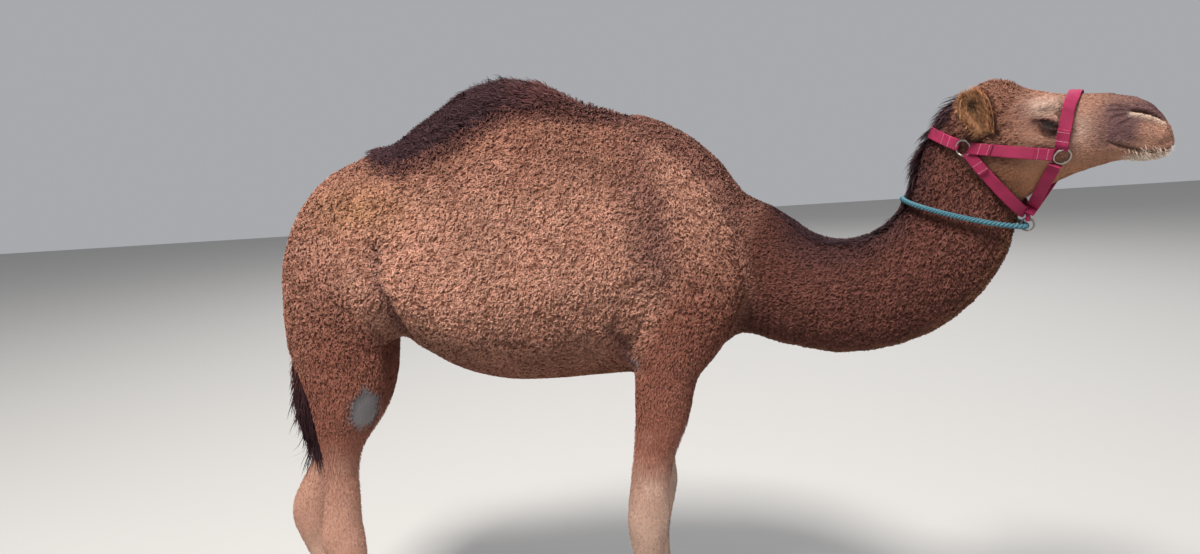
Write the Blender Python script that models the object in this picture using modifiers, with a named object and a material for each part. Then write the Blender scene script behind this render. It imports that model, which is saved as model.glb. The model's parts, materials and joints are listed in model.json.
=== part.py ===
"""A standing one-humped camel (dromedary), about a year old, life size, as a still museum model.

Units are metres and +Z is up.  The animal faces +X and its right side faces -Y.  Its trunk is
symmetric about a plane along X; the neck swings to the animal's right and carries the head there.
The outline is that of the coat.  The flesh is lofted from named rows, fused, and parted with thin
cuts into one closed solid for each named part.  It wears a webbing halter and a rope collar.
"""

import math

import bmesh
import bpy
import numpy as np
from mathutils import Matrix, Vector
from mathutils.bvhtree import BVHTree

# ---------------------------------------------------------------- driving dimensions (metres)
TRUNK_SHIFT = Vector((-0.102, 0.158, 0.0))   # from the box's centre to the trunk's own origin
GAP = 0.0003                   # clearance left by every flat cut
POCKET_GAP = 0.0008            # clearance of the pockets that hold eyes, ears, nails and tail
VOXEL = 0.010                  # grid of the fused body
BODY_FACES = 2900              # triangles of the whole skin from which trunk, neck and legs are cut
HEAD_FACES = 6800              # triangles of the whole skin from which the head alone is cut
SMOOTH_PASSES = 8
SOLE_DEPTH = 0.007             # what lies lower than this is pressed flat onto the floor

HUMP_CUT_HEIGHT = 1.455
HIND_CUT_HEIGHT = 1.13
HIND_CUT_FRONT = -0.545
FORE_CUT_HEIGHT = 1.00
FORE_CUT_REACH = (0.015, 0.315)
FORE_CUT_INNER = 0.092
FORE_CUT_LEAN = math.radians(4.0)            # the inner cut leans in under the chest

HEAD_TURN = math.radians(-33.0)              # the head's heading, seen from above
HEAD_ORIGIN = Vector((0.838, -0.349, 0.0))   # under the joint of head and neck
EYE_RADIUS = 0.0215
EYE_PLACE = (0.177, 0.0610, 1.418)           # along the head, out to the side, height
EAR_LENGTH = 0.098
EAR_WIDTH = 0.072
EAR_WALL = 0.006
EAR_ROOT = (0.062, 0.083, 1.404)
EAR_BEND = 1.15                              # half angle of the cup's bend, in radians
EAR_LEAN = (-0.27, 0.34, 0.90)               # its length points back, out and up
HEAD_NARROWING = 0.10                        # how much narrower the head's upper half gets

FOOT_PAD_LENGTH = 0.172
FOOT_PAD_WIDTH = 0.150
FOOT_PAD_HEIGHT = 0.070
NAIL_LENGTH = 0.034
NAIL_WIDTH = 0.026
NAIL_HEIGHT = 0.020
NAIL_SPREAD = 0.032                          # each nail's distance from the foot's middle line
NAIL_BACK = 0.020                            # how far behind the pad's front edge its middle is
NAIL_LEVEL = 0.026
NAIL_TURN = math.radians(8.0)
PAD_LEAD = 0.014                             # the pad's middle ahead of the lowest row of its leg

WEBBING_WIDTH = 0.025
WEBBING_THICKNESS = 0.003
WEBBING_CLEARANCE = 0.0030
RING_RADIUS = 0.0165
THROAT_RING_RADIUS = 0.0135
RING_WIRE = 0.0022
RING_LIFT = 0.0050                           # from the skin to the middle of a ring's wire
ROPE_RADIUS = 0.006
ROPE_CLEARANCE = 0.0025
KEEPER_SIZE = (0.008, 0.018, 0.009)          # loop that hangs the throat ring on its band

# places on the halter: distance along the head, and height
CHEEK_RING = (0.016, 1.379)
NOSE_RING = (0.199, 1.354)
CROWN = (-0.052, 1.408)
NOSE_TOP = (0.217, 1.486)
THROAT_RING = (0.128, 1.205)
THROAT_TURN = (0.121, 1.236)                 # where the throat band turns under the throat
CHIN_TURN = (0.140, 1.248)
KEEPER = (0.129, 1.223)
ROPE_BACK = (-0.120, 1.262)
ROPE_TURN = (0.123, 1.202)
STRAP_START = 0.0245                         # from a ring's centre to the straps that leave it
THROAT_START = 0.0335                        # the throat band starts lower, clear of the cheek band

# planes that part the neck from the head and trunk: two points on the head, or a point and a normal
HEAD_CUT = ((-0.075, 1.335), (0.095, 1.203))
NECK_CUT = ((0.735, -0.270, 1.075), (0.62, -0.46, 0.56), (-0.35, -0.94, 0.0))
BASE_CUT = ((0.430, -0.030, 1.070), (0.90, -0.42, -0.10), (-0.42, -0.90, 0.0))
CUT_REACH = 0.40                             # half width of the blocks that cut the neck

# ---------------------------------------------------------------- colours (linear RGB)
COLOURS = {
    "coat": (0.30, 0.115, 0.066),
    "crest": (0.060, 0.028, 0.022),
    "face": (0.34, 0.155, 0.088),
    "shank": (0.42, 0.235, 0.165),
    "eye": (0.012, 0.007, 0.005),
    "nail": (0.075, 0.062, 0.052),
    "webbing": (0.52, 0.012, 0.085),
    "metal": (0.52, 0.50, 0.46),
    "rope": (0.045, 0.22, 0.32),
}

# ---------------------------------------------------------------- rows of the lofts
# trunk: x, height of the widest line, up, down, half width, narrowing of the upper half
TRUNK_ROWS = [
    (-0.836, 1.120, 0.050, 0.060, 0.040, 0.00),
    (-0.816, 1.135, 0.130, 0.130, 0.100, 0.05),
    (-0.760, 1.150, 0.196, 0.190, 0.160, 0.12),
    (-0.686, 1.150, 0.258, 0.215, 0.200, 0.16),
    (-0.600, 1.140, 0.304, 0.215, 0.222, 0.20),
    (-0.530, 1.120, 0.355, 0.166, 0.234, 0.24),
    (-0.460, 1.105, 0.416, 0.200, 0.247, 0.28),
    (-0.390, 1.095, 0.466, 0.235, 0.257, 0.30),
    (-0.320, 1.088, 0.511, 0.256, 0.263, 0.31),
    (-0.250, 1.085, 0.534, 0.268, 0.266, 0.32),
    (-0.187, 1.085, 0.537, 0.273, 0.266, 0.32),
    (-0.120, 1.087, 0.523, 0.276, 0.262, 0.31),
    (-0.060, 1.090, 0.493, 0.277, 0.254, 0.30),
    (0.000, 1.095, 0.459, 0.281, 0.243, 0.28),
    (0.080, 1.105, 0.417, 0.290, 0.224, 0.26),
    (0.158, 1.115, 0.384, 0.300, 0.204, 0.24),
    (0.234, 1.120, 0.341, 0.285, 0.188, 0.20),
    (0.297, 1.120, 0.293, 0.260, 0.172, 0.15),
    (0.360, 1.110, 0.232, 0.212, 0.146, 0.10),
    (0.410, 1.100, 0.160, 0.150, 0.105, 0.05),
    (0.440, 1.090, 0.070, 0.070, 0.050, 0.00),
]

# neck: x, y, z of its axis, half depth, half width, heading of its side (degrees)
NECK_ROWS = [
    (0.230, 0.000, 1.150, 0.180, 0.130, 0.0),
    (0.340, -0.006, 1.110, 0.182, 0.138, -3.0),
    (0.434, -0.032, 1.068, 0.170, 0.128, -14.0),
    (0.514, -0.098, 1.032, 0.152, 0.106, -30.0),
    (0.599, -0.168, 1.019, 0.144, 0.094, -38.0),
    (0.688, -0.234, 1.042, 0.139, 0.088, -38.0),
    (0.762, -0.290, 1.098, 0.136, 0.085, -37.0),
    (0.812, -0.324, 1.170, 0.130, 0.082, -36.0),
    (0.838, -0.342, 1.250, 0.123, 0.080, -34.0),
    (0.852, -0.352, 1.330, 0.118, 0.078, -33.0),
    (0.864, -0.366, 1.400, 0.100, 0.068, -33.0),
]

# head: distance along it, height of the widest line, up, down, half width
HEAD_ROWS = [
    (-0.052, 1.405, 0.020, 0.030, 0.022),
    (-0.035, 1.405, 0.064, 0.050, 0.052),
    (0.000, 1.400, 0.104, 0.080, 0.077),
    (0.035, 1.398, 0.118, 0.105, 0.088),
    (0.068, 1.398, 0.125, 0.128, 0.092),
    (0.102, 1.400, 0.112, 0.138, 0.090),
    (0.130, 1.402, 0.094, 0.134, 0.087),
    (0.160, 1.406, 0.083, 0.124, 0.082),
    (0.190, 1.408, 0.074, 0.112, 0.074),
    (0.225, 1.406, 0.074, 0.094, 0.063),
    (0.270, 1.398, 0.080, 0.072, 0.054),
    (0.300, 1.396, 0.078, 0.062, 0.051),
    (0.330, 1.394, 0.070, 0.062, 0.050),
    (0.355, 1.388, 0.058, 0.054, 0.047),
    (0.376, 1.380, 0.040, 0.039, 0.038),
    (0.392, 1.372, 0.018, 0.018, 0.020),
]

# right legs: x, distance out from the middle, z, half length, half width
FORE_RIGHT_ROWS = [
    (0.150, 0.080, 1.400, 0.050, 0.035),
    (0.195, 0.112, 1.300, 0.090, 0.060),
    (0.240, 0.136, 1.180, 0.108, 0.066),
    (0.262, 0.146, 1.060, 0.112, 0.072),
    (0.215, 0.152, 0.960, 0.110, 0.078),
    (0.172, 0.156, 0.885, 0.094, 0.076),
    (0.155, 0.156, 0.826, 0.085, 0.070),
    (0.141, 0.152, 0.728, 0.075, 0.062),
    (0.121, 0.147, 0.649, 0.063, 0.053),
    (0.110, 0.144, 0.597, 0.058, 0.048),
    (0.101, 0.141, 0.546, 0.056, 0.047),
    (0.096, 0.139, 0.493, 0.058, 0.051),
    (0.092, 0.137, 0.435, 0.061, 0.054),
    (0.088, 0.135, 0.380, 0.051, 0.047),
    (0.084, 0.133, 0.310, 0.037, 0.036),
    (0.080, 0.131, 0.220, 0.033, 0.032),
    (0.079, 0.130, 0.155, 0.040, 0.038),
    (0.084, 0.130, 0.122, 0.047, 0.045),
    (0.100, 0.130, 0.080, 0.050, 0.050),
    (0.112, 0.130, 0.045, 0.048, 0.050),
]
FORE_LEFT_STEP = 0.052         # how far the left forefoot stands ahead of the right one

HIND_RIGHT_ROWS = [
    (-0.620, 0.060, 1.330, 0.060, 0.050),
    (-0.660, 0.105, 1.250, 0.112, 0.082),
    (-0.680, 0.128, 1.170, 0.124, 0.096),
    (-0.686, 0.140, 1.080, 0.125, 0.102),
    (-0.686, 0.148, 0.990, 0.125, 0.100),
    (-0.674, 0.154, 0.915, 0.117, 0.092),
    (-0.668, 0.157, 0.850, 0.110, 0.083),
    (-0.676, 0.156, 0.800, 0.097, 0.075),
    (-0.687, 0.153, 0.750, 0.081, 0.066),
    (-0.698, 0.150, 0.700, 0.064, 0.057),
    (-0.706, 0.147, 0.640, 0.052, 0.049),
    (-0.713, 0.144, 0.560, 0.051, 0.045),
    (-0.722, 0.142, 0.490, 0.056, 0.047),
    (-0.726, 0.140, 0.435, 0.063, 0.049),
    (-0.716, 0.138, 0.375, 0.053, 0.043),
    (-0.709, 0.137, 0.310, 0.040, 0.035),
    (-0.706, 0.136, 0.230, 0.035, 0.031),
    (-0.703, 0.135, 0.160, 0.038, 0.035),
    (-0.698, 0.135, 0.120, 0.045, 0.043),
    (-0.680, 0.135, 0.080, 0.048, 0.048),
    (-0.669, 0.135, 0.045, 0.046, 0.048),
]

HIND_LEFT_ROWS = [
    (-0.630, 0.060, 1.330, 0.060, 0.050),
    (-0.670, 0.105, 1.250, 0.110, 0.082),
    (-0.692, 0.126, 1.170, 0.122, 0.096),
    (-0.700, 0.134, 1.080, 0.124, 0.102),
    (-0.704, 0.138, 0.990, 0.122, 0.098),
    (-0.704, 0.140, 0.915, 0.114, 0.090),
    (-0.703, 0.140, 0.850, 0.106, 0.081),
    (-0.711, 0.139, 0.790, 0.096, 0.073),
    (-0.727, 0.138, 0.735, 0.086, 0.064),
    (-0.760, 0.136, 0.670, 0.072, 0.055),
    (-0.800, 0.134, 0.610, 0.060, 0.048),
    (-0.842, 0.132, 0.545, 0.055, 0.044),
    (-0.880, 0.130, 0.475, 0.060, 0.046),
    (-0.906, 0.129, 0.405, 0.066, 0.049),
    (-0.904, 0.128, 0.345, 0.055, 0.043),
    (-0.894, 0.128, 0.280, 0.041, 0.035),
    (-0.880, 0.127, 0.205, 0.035, 0.031),
    (-0.868, 0.127, 0.150, 0.039, 0.035),
    (-0.860, 0.127, 0.115, 0.045, 0.043),
    (-0.842, 0.127, 0.078, 0.048, 0.048),
    (-0.830, 0.127, 0.045, 0.046, 0.048),
]

# tail: x, y, z, half length, half width
TAIL_ROWS = [
    (-0.775, 0.000, 1.225, 0.020, 0.020),
    (-0.806, 0.000, 1.210, 0.032, 0.030),
    (-0.830, 0.000, 1.150, 0.028, 0.027),
    (-0.838, 0.000, 1.050, 0.023, 0.022),
    (-0.846, 0.000, 0.950, 0.020, 0.019),
    (-0.848, 0.000, 0.880, 0.024, 0.022),
    (-0.842, 0.000, 0.800, 0.029, 0.026),
    (-0.830, 0.000, 0.710, 0.024, 0.022),
    (-0.822, 0.000, 0.640, 0.008, 0.008),
]

# rounded lumps on both sides of the body: x, distance out, z and half sizes
BODY_LUMPS = {
    "hip bone": ((-0.520, 0.142, 1.310), (0.075, 0.042, 0.055)),
    "elbow": ((0.105, 0.160, 0.890), (0.045, 0.040, 0.050)),
}
# the same on the head: distance along it, out and height
HEAD_LUMPS = {
    "brow": ((0.172, 0.066, 1.452), (0.036, 0.022, 0.026)),
    "cheek": ((0.175, 0.060, 1.385), (0.050, 0.022, 0.026)),
}
CHEST_PAD = ((0.135, 0.0, 0.845), (0.085, 0.075, 0.050))

# outline of a foot's pad from the floor up: share of its height, share of its breadth
PAD_PROFILE = [(0.0, 0.90), (0.09, 0.985), (0.29, 1.0), (0.54, 0.93), (0.80, 0.76), (1.0, 0.52)]
PAD_LEAN = 0.02                # how far back the pad's top lies
TOE_NOTCH = 0.10               # depth of the cleft between the toes, as a share of the pad's length
TOE_NOTCH_WIDTH = 0.22         # its width, in radians


# ---------------------------------------------------------------- scene, collections, materials
def empty_scene():
    for item in list(bpy.data.objects):
        bpy.data.objects.remove(item, do_unlink=True)


def new_collection(name):
    collection = bpy.data.collections.new(name)
    bpy.context.scene.collection.children.link(collection)
    return collection


def new_material(name, colour, roughness, metallic=0.0):
    material = bpy.data.materials.new(name)
    material.use_nodes = True
    shader = material.node_tree.nodes["Principled BSDF"]
    shader.inputs["Base Color"].default_value = (*colour, 1.0)
    shader.inputs["Roughness"].default_value = roughness
    shader.inputs["Metallic"].default_value = metallic
    material.diffuse_color = (*colour, 1.0)
    return material


def object_from_mesh(name, mesh):
    thing = bpy.data.objects.new(name, mesh)
    bpy.context.scene.collection.objects.link(thing)
    return thing


def finished_mesh(thing):
    """Return the object's mesh with its modifiers worked in."""
    bpy.context.view_layer.update()
    graph = bpy.context.evaluated_depsgraph_get()
    return bpy.data.meshes.new_from_object(thing.evaluated_get(graph))


def bake_modifiers(thing):
    mesh = finished_mesh(thing)
    thing.modifiers.clear()
    old = thing.data
    thing.data = mesh
    bpy.data.meshes.remove(old)


# ---------------------------------------------------------------- lofts
def smooth_rows(rows, count):
    """Catmull-Rom curve through the rows, as count rows evenly spread between them."""
    rows = np.asarray(rows, float)
    padded = np.vstack([2 * rows[0] - rows[1], rows, 2 * rows[-1] - rows[-2]])
    places = np.linspace(0, len(rows) - 1, count)
    start = np.minimum(places.astype(int), len(rows) - 2)
    t = (places - start)[:, None]
    a, b, c, d = (padded[start + k] for k in range(4))
    return 0.5 * (2 * b + (c - a) * t + (2 * a - 5 * b + 4 * c - d) * t**2
                  + (3 * b - a - 3 * c + d) * t**3)


def grid_mesh(name, points):
    """Closed mesh from rings of points; both ends get a cap."""
    rings, around, _ = points.shape
    index = np.arange(rings * around).reshape(rings, around)
    right = np.roll(index, -1, axis=1)
    sides = np.stack([index[:-1], right[:-1], right[1:], index[1:]], axis=-1).reshape(-1, 4)
    faces = [tuple(int(v) for v in face) for face in sides]
    faces += [tuple(int(v) for v in index[0, ::-1]), tuple(int(v) for v in index[-1])]
    mesh = bpy.data.meshes.new(name)
    mesh.from_pydata(points.reshape(-1, 3).tolist(), [], faces)
    work = bmesh.new()
    work.from_mesh(mesh)
    bmesh.ops.recalc_face_normals(work, faces=work.faces)
    if work.calc_volume(signed=True) < 0:
        bmesh.ops.reverse_faces(work, faces=work.faces)
    work.to_mesh(mesh)
    work.free()
    return mesh


def rings_along(centres, sides, ups, up, down, wide, narrowing, around=32):
    """Rings about centres: up and down along each ring's up vector, wide along its side vector."""
    angle = np.linspace(0, 2 * np.pi, around, endpoint=False)[None, :]
    height = np.where(np.cos(angle) > 0, up[:, None], down[:, None]) * np.cos(angle)
    narrow = 1 - narrowing[:, None] * np.maximum(np.cos(angle), 0)
    out = wide[:, None] * np.sin(angle) * narrow
    return centres[:, None] + height[..., None] * ups[:, None] + out[..., None] * sides[:, None]


def trunk_mesh():
    rows = smooth_rows(TRUNK_ROWS, 90)
    count = len(rows)
    centres = np.stack([rows[:, 0], np.zeros(count), rows[:, 1]], axis=1)
    sides = np.tile((0.0, 1.0, 0.0), (count, 1))
    ups = np.tile((0.0, 0.0, 1.0), (count, 1))
    points = rings_along(centres, sides, ups, rows[:, 2], rows[:, 3], rows[:, 4], rows[:, 5], 48)
    return grid_mesh("trunk loft", points)


def bent_loft(name, rows, turns, count, around=32):
    """Loft whose rows are x, y, z, half depth, half width; turns gives each side's heading."""
    rows = smooth_rows(np.column_stack([rows, turns]), count)
    heading = np.radians(rows[:, 5])
    sides = np.stack([-np.sin(heading), np.cos(heading), np.zeros(count)], axis=1)
    ahead = np.gradient(rows[:, :3], axis=0)
    ups = np.cross(ahead, sides)
    ups /= np.linalg.norm(ups, axis=1)[:, None]
    points = rings_along(rows[:, :3], sides, ups, rows[:, 3], rows[:, 3], rows[:, 4],
                         np.zeros(count), around)
    return grid_mesh(name, points)


def neck_mesh():
    rows = np.array(NECK_ROWS)
    return bent_loft("neck loft", rows[:, :5], rows[:, 5], 60)


def leg_mesh(name, rows, side, step=0.0):
    """Leg on one side (-1 right, +1 left); step moves the foot forward, the shoulder not."""
    rows = np.array(rows)
    foot_share = np.clip((rows[0, 2] - rows[:, 2]) / rows[0, 2], 0, 1)
    rows[:, 0] += step * foot_share
    rows[:, 1] *= side
    return bent_loft(name, rows, np.zeros(len(rows)), 80)


def head_place(along, out, height):
    """Point in the head's own frame: along it, out to its right, and up."""
    ahead = Vector((math.cos(HEAD_TURN), math.sin(HEAD_TURN), 0.0))
    right = Vector((math.sin(HEAD_TURN), -math.cos(HEAD_TURN), 0.0))
    return HEAD_ORIGIN + ahead * along + right * out + Vector((0, 0, height))


def head_mesh():
    rows = smooth_rows(HEAD_ROWS, 60)
    count = len(rows)
    centres = np.array([head_place(row[0], 0.0, row[1]) for row in rows])
    right = head_place(0, 1, 0) - HEAD_ORIGIN
    sides = np.tile(np.array(right), (count, 1))
    ups = np.tile((0.0, 0.0, 1.0), (count, 1))
    points = rings_along(centres, sides, ups, rows[:, 2], rows[:, 3], rows[:, 4],
                         np.full(count, HEAD_NARROWING))
    return grid_mesh("head loft", points)


def ball(name, place, radii, turn=0.0, segments=24, rings=12):
    """Ellipsoid with the given half sizes, turned about Z."""
    work = bmesh.new()
    bmesh.ops.create_uvsphere(work, u_segments=segments, v_segments=rings, radius=1.0)
    mesh = bpy.data.meshes.new(name)
    work.to_mesh(mesh)
    work.free()
    size = Matrix.Diagonal((*radii, 1.0))
    mesh.transform(Matrix.Translation(place) @ Matrix.Rotation(turn, 4, "Z") @ size)
    return mesh


def foot_mesh(name, place, side):
    """Broad split foot: two toes in one pad, flat below."""
    around = 40
    angle = np.linspace(-np.pi, np.pi, around, endpoint=False)
    notch = TOE_NOTCH * np.exp(-((angle / TOE_NOTCH_WIDTH) ** 2))
    along = 0.5 * FOOT_PAD_LENGTH * np.cos(angle) * (1 - notch)
    across = 0.5 * FOOT_PAD_WIDTH * np.sin(angle) * (1 + 0.10 * np.cos(angle))
    rings = [np.stack([place[0] + along * grow - PAD_LEAN * level,
                       side * place[1] + across * grow,
                       np.full(around, level * FOOT_PAD_HEIGHT)], axis=1)
             for level, grow in PAD_PROFILE]
    return grid_mesh(name, np.array(rings))


FOOT_PLACES = {
    "foreleg_right": (FORE_RIGHT_ROWS[-1][0] + PAD_LEAD, FORE_RIGHT_ROWS[-1][1], -1),
    "foreleg_left": (FORE_RIGHT_ROWS[-1][0] + PAD_LEAD + FORE_LEFT_STEP, FORE_RIGHT_ROWS[-1][1], 1),
    "hindleg_right": (HIND_RIGHT_ROWS[-1][0] + PAD_LEAD, HIND_RIGHT_ROWS[-1][1], -1),
    "hindleg_left": (HIND_LEFT_ROWS[-1][0] + PAD_LEAD, HIND_LEFT_ROWS[-1][1], 1),
}


def fused_body():
    """Fuse every loft of flesh into one skin, smooth it and thin its triangles."""
    meshes = [trunk_mesh(), neck_mesh(), head_mesh()]
    meshes.append(leg_mesh("fore right", FORE_RIGHT_ROWS, -1))
    meshes.append(leg_mesh("fore left", FORE_RIGHT_ROWS, 1, FORE_LEFT_STEP))
    meshes.append(leg_mesh("hind right", HIND_RIGHT_ROWS, -1))
    meshes.append(leg_mesh("hind left", HIND_LEFT_ROWS, 1))
    for name, (x, y, side) in FOOT_PLACES.items():
        meshes.append(foot_mesh(name + " pad", (x, y), side))
    for side in (-1, 1):
        for name, ((x, out, z), radii) in BODY_LUMPS.items():
            meshes.append(ball(name, (x, side * out, z), radii))
        for name, ((along, out, height), radii) in HEAD_LUMPS.items():
            meshes.append(ball(name, head_place(along, side * out, height), radii, HEAD_TURN))
    meshes.append(ball("chest pad", *CHEST_PAD))

    work = bmesh.new()
    for mesh in meshes:
        work.from_mesh(mesh)
    joined = bpy.data.meshes.new("flesh")
    work.to_mesh(joined)
    work.free()
    for mesh in meshes:
        bpy.data.meshes.remove(mesh)
    body = object_from_mesh("flesh", joined)
    remesh = body.modifiers.new("Fuse", "REMESH")
    remesh.mode = "VOXEL"
    remesh.voxel_size = VOXEL
    soften = body.modifiers.new("Soften", "SMOOTH")
    soften.factor = 0.5
    soften.iterations = SMOOTH_PASSES
    bake_modifiers(body)
    return body


def thinned(body, faces):
    """Copy of the fused skin with about the given number of triangles and flat soles."""
    copy = object_from_mesh("thinned", body.data.copy())
    thin = copy.modifiers.new("Thin", "DECIMATE")
    thin.use_collapse_triangulate = True
    thin.ratio = faces / (2.0 * len(body.data.polygons))
    bake_modifiers(copy)
    for vertex in copy.data.vertices:
        if vertex.co.z < SOLE_DEPTH:
            vertex.co.z = 0.0
    copy.data.update()
    return copy


# ---------------------------------------------------------------- cuts
def block(low, high, turn=None):
    """Block between two corners, optionally carried by a matrix."""
    work = bmesh.new()
    bmesh.ops.create_cube(work, size=1.0)
    mesh = bpy.data.meshes.new("block")
    work.to_mesh(mesh)
    work.free()
    low, high = Vector(low), Vector(high)
    mesh.transform(Matrix.Translation((low + high) / 2) @ Matrix.Diagonal((*(high - low), 1.0)))
    if turn is not None:
        mesh.transform(turn)
    return object_from_mesh("block", mesh)


def combine(thing, cutter, operation):
    """Work a Boolean of thing with cutter into thing's own mesh."""
    step = thing.modifiers.new("Cut", "BOOLEAN")
    step.operation = operation
    step.solver = "EXACT"
    step.object = cutter
    bake_modifiers(thing)


def discard(thing):
    mesh = thing.data
    bpy.data.objects.remove(thing, do_unlink=True)
    bpy.data.meshes.remove(mesh)


def part_off(rest, name, low, high, turn=None):
    """Cut the block out of rest as its own object, with the clearance between the two."""
    piece = object_from_mesh(name, rest.data.copy())
    keep = block(low, high, turn)
    combine(piece, keep, "INTERSECT")
    discard(keep)
    grow = Vector((GAP, GAP, GAP))
    remove = block(Vector(low) - grow, Vector(high) + grow, turn)
    combine(rest, remove, "DIFFERENCE")
    discard(remove)
    return piece


def swell(thing, distance):
    """Copy of an object with its surface moved out along the normals."""
    copy = object_from_mesh("swollen", thing.data.copy())
    work = bmesh.new()
    work.from_mesh(copy.data)
    bmesh.ops.triangulate(work, faces=work.faces)
    work.normal_update()
    moves = [vertex.normal * distance for vertex in work.verts]
    for vertex, move in zip(work.verts, moves):
        vertex.co += move
    work.to_mesh(copy.data)
    work.free()
    return copy


def make_room(rest, piece):
    """Cut a pocket in rest that holds piece with the clearance."""
    pocket = swell(piece, POCKET_GAP)
    combine(rest, pocket, "DIFFERENCE")
    discard(pocket)


def plane_frame(point, normal, side):
    """Matrix whose X axis runs along normal from point, and whose Y axis lies along side."""
    x = Vector(normal).normalized()
    z = x.cross(Vector(side)).normalized()
    y = z.cross(x)
    turn = Matrix((x, y, z)).transposed().to_4x4()
    return Matrix.Translation(point) @ turn


# ---------------------------------------------------------------- eyes, ears, nails, tail
def side_name(side):
    return "right" if side > 0 else "left"


def make_eye(side):
    along, out, height = EYE_PLACE
    mesh = ball("eye_" + side_name(side), head_place(along, side * out, height),
                (EYE_RADIUS,) * 3, HEAD_TURN, 14, 8)
    return object_from_mesh("eye_" + side_name(side), mesh)


def make_ear(side):
    """Small rounded cup, laid back: a leaf bent about its length, with the given wall."""
    rows, columns = 7, 7
    along = np.linspace(0, 1, rows)[:, None]
    across = np.linspace(-1, 1, columns)[None, :]
    width = 0.5 * EAR_WIDTH * (0.40 + 1.65 * along * (1 - along) ** 0.55)
    tip = np.clip((along - 0.88) / 0.13, 0, 1)
    width = width * np.sqrt(1 - tip**2)
    bend = across * EAR_BEND
    x = width * np.sin(bend) / math.sin(EAR_BEND)
    y = width * (1 - np.cos(bend)) * EAR_BEND
    z = EAR_LENGTH * along + 0.0 * across
    local = np.stack([x, y, z], axis=-1).reshape(-1, 3)
    index = np.arange(rows * columns).reshape(rows, columns)
    faces = np.stack([index[:-1, :-1], index[:-1, 1:], index[1:, 1:], index[1:, :-1]], axis=-1)
    mesh = bpy.data.meshes.new("ear_" + side_name(side))
    mesh.from_pydata(local.tolist(), [], faces.reshape(-1, 4).tolist())
    ahead = head_place(1, 0, 0) - HEAD_ORIGIN
    right = (head_place(0, 1, 0) - HEAD_ORIGIN) * side
    lean_ahead, lean_out, lean_up = EAR_LEAN
    up = (ahead * lean_ahead + right * lean_out + Vector((0, 0, lean_up))).normalized()
    back = (up.cross(right)).normalized() * side
    face_out = up.cross(back).normalized()
    if face_out.dot(right) < 0:
        face_out.negate()
    turn = Matrix((back, face_out, up)).transposed().to_4x4()
    place = head_place(EAR_ROOT[0], side * EAR_ROOT[1], EAR_ROOT[2])
    mesh.transform(Matrix.Translation(place) @ turn)
    ear = object_from_mesh("ear_" + side_name(side), mesh)
    wall = ear.modifiers.new("Wall", "SOLIDIFY")
    wall.thickness = EAR_WALL
    wall.offset = 0.0
    bake_modifiers(ear)
    face_outward(ear)
    return ear


def face_outward(thing):
    work = bmesh.new()
    work.from_mesh(thing.data)
    bmesh.ops.remove_doubles(work, verts=work.verts, dist=0.0001)
    bmesh.ops.recalc_face_normals(work, faces=work.faces)
    if work.calc_volume(signed=True) < 0:
        bmesh.ops.reverse_faces(work, faces=work.faces)
    work.to_mesh(thing.data)
    work.free()


def make_nails(leg):
    """Two toenails on the front edge of one foot."""
    x, y, side = FOOT_PLACES[leg]
    nails = []
    for number, spread in enumerate((-1, 1), start=1):
        name = f"nail_{leg}_{number}"
        place = (x + 0.5 * FOOT_PAD_LENGTH - NAIL_BACK, side * y + spread * NAIL_SPREAD, NAIL_LEVEL)
        radii = (0.5 * NAIL_LENGTH, 0.5 * NAIL_WIDTH, 0.5 * NAIL_HEIGHT)
        mesh = ball(name, place, radii, NAIL_TURN * spread, 8, 5)
        nails.append(object_from_mesh(name, mesh))
    return nails


def make_tail():
    rows = np.array(TAIL_ROWS)
    mesh = bent_loft("tail", rows, np.zeros(len(rows)), 14, 12)
    return object_from_mesh("tail", mesh)


# ---------------------------------------------------------------- halter and rope
def section_points(things, frame, shift):
    """Points where planes between the frame's YZ plane and that plane moved by shift cut meshes."""
    back = frame.inverted()
    found = []
    for thing in things:
        places = [back @ vertex.co for vertex in thing.data.vertices]
        for edge in thing.data.edges:
            a, b = (places[i] for i in edge.vertices)
            for level in (0.0, 0.5 * shift, shift):
                if (a.x > level) != (b.x > level):
                    cross = a.lerp(b, (a.x - level) / (a.x - b.x))
                    found.append((cross.y, cross.z))
    return found


def hull_loop(points):
    """Convex outline of flat points, counter-clockwise."""
    points = sorted(set((round(a, 6), round(b, 6)) for a, b in points))

    def half(ordered):
        chain = []
        for point in ordered:
            while len(chain) > 1:
                (ax, ay), (bx, by) = chain[-2], chain[-1]
                if (bx - ax) * (point[1] - ay) - (by - ay) * (point[0] - ax) > 0:
                    break
                chain.pop()
            chain.append(point)
        return chain[:-1]

    return np.array(half(points) + half(points[::-1]))


def taut_loop(things, frame, shift, clearance, turn=None, trim=False, count=72):
    """Path of a band pulled tight round the meshes in one plane, as count points.

    It also goes round the point turn; with trim, flesh that lies beyond that point is left out.
    """
    found = section_points(things, frame, shift)
    if trim:
        found = [(y, z) for y, z in found if z * turn[1] < turn[1] ** 2]
    if turn is not None:
        found.append(turn)
    outline = hull_loop(found)
    closed = np.vstack([outline, outline[:1]])
    steps = np.linalg.norm(np.diff(closed, axis=0), axis=1)
    along = np.concatenate([[0], np.cumsum(steps)])
    places = np.linspace(0, along[-1], count, endpoint=False)
    loop = np.stack([np.interp(places, along, closed[:, k]) for k in (0, 1)], axis=1)
    ahead = np.roll(loop, -1, axis=0) - np.roll(loop, 1, axis=0)
    ahead /= np.linalg.norm(ahead, axis=1)[:, None]
    out = np.stack([ahead[:, 1], -ahead[:, 0]], axis=1)
    loop = loop + out * clearance
    world = frame @ Matrix.Translation((shift, 0, 0))
    points = np.array([world @ Vector((0.0, y, z)) for y, z in loop])
    turn = np.array(world.to_3x3())
    outs = np.stack([turn @ np.array((0.0, y, z)) for y, z in out])
    return points, outs


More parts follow.
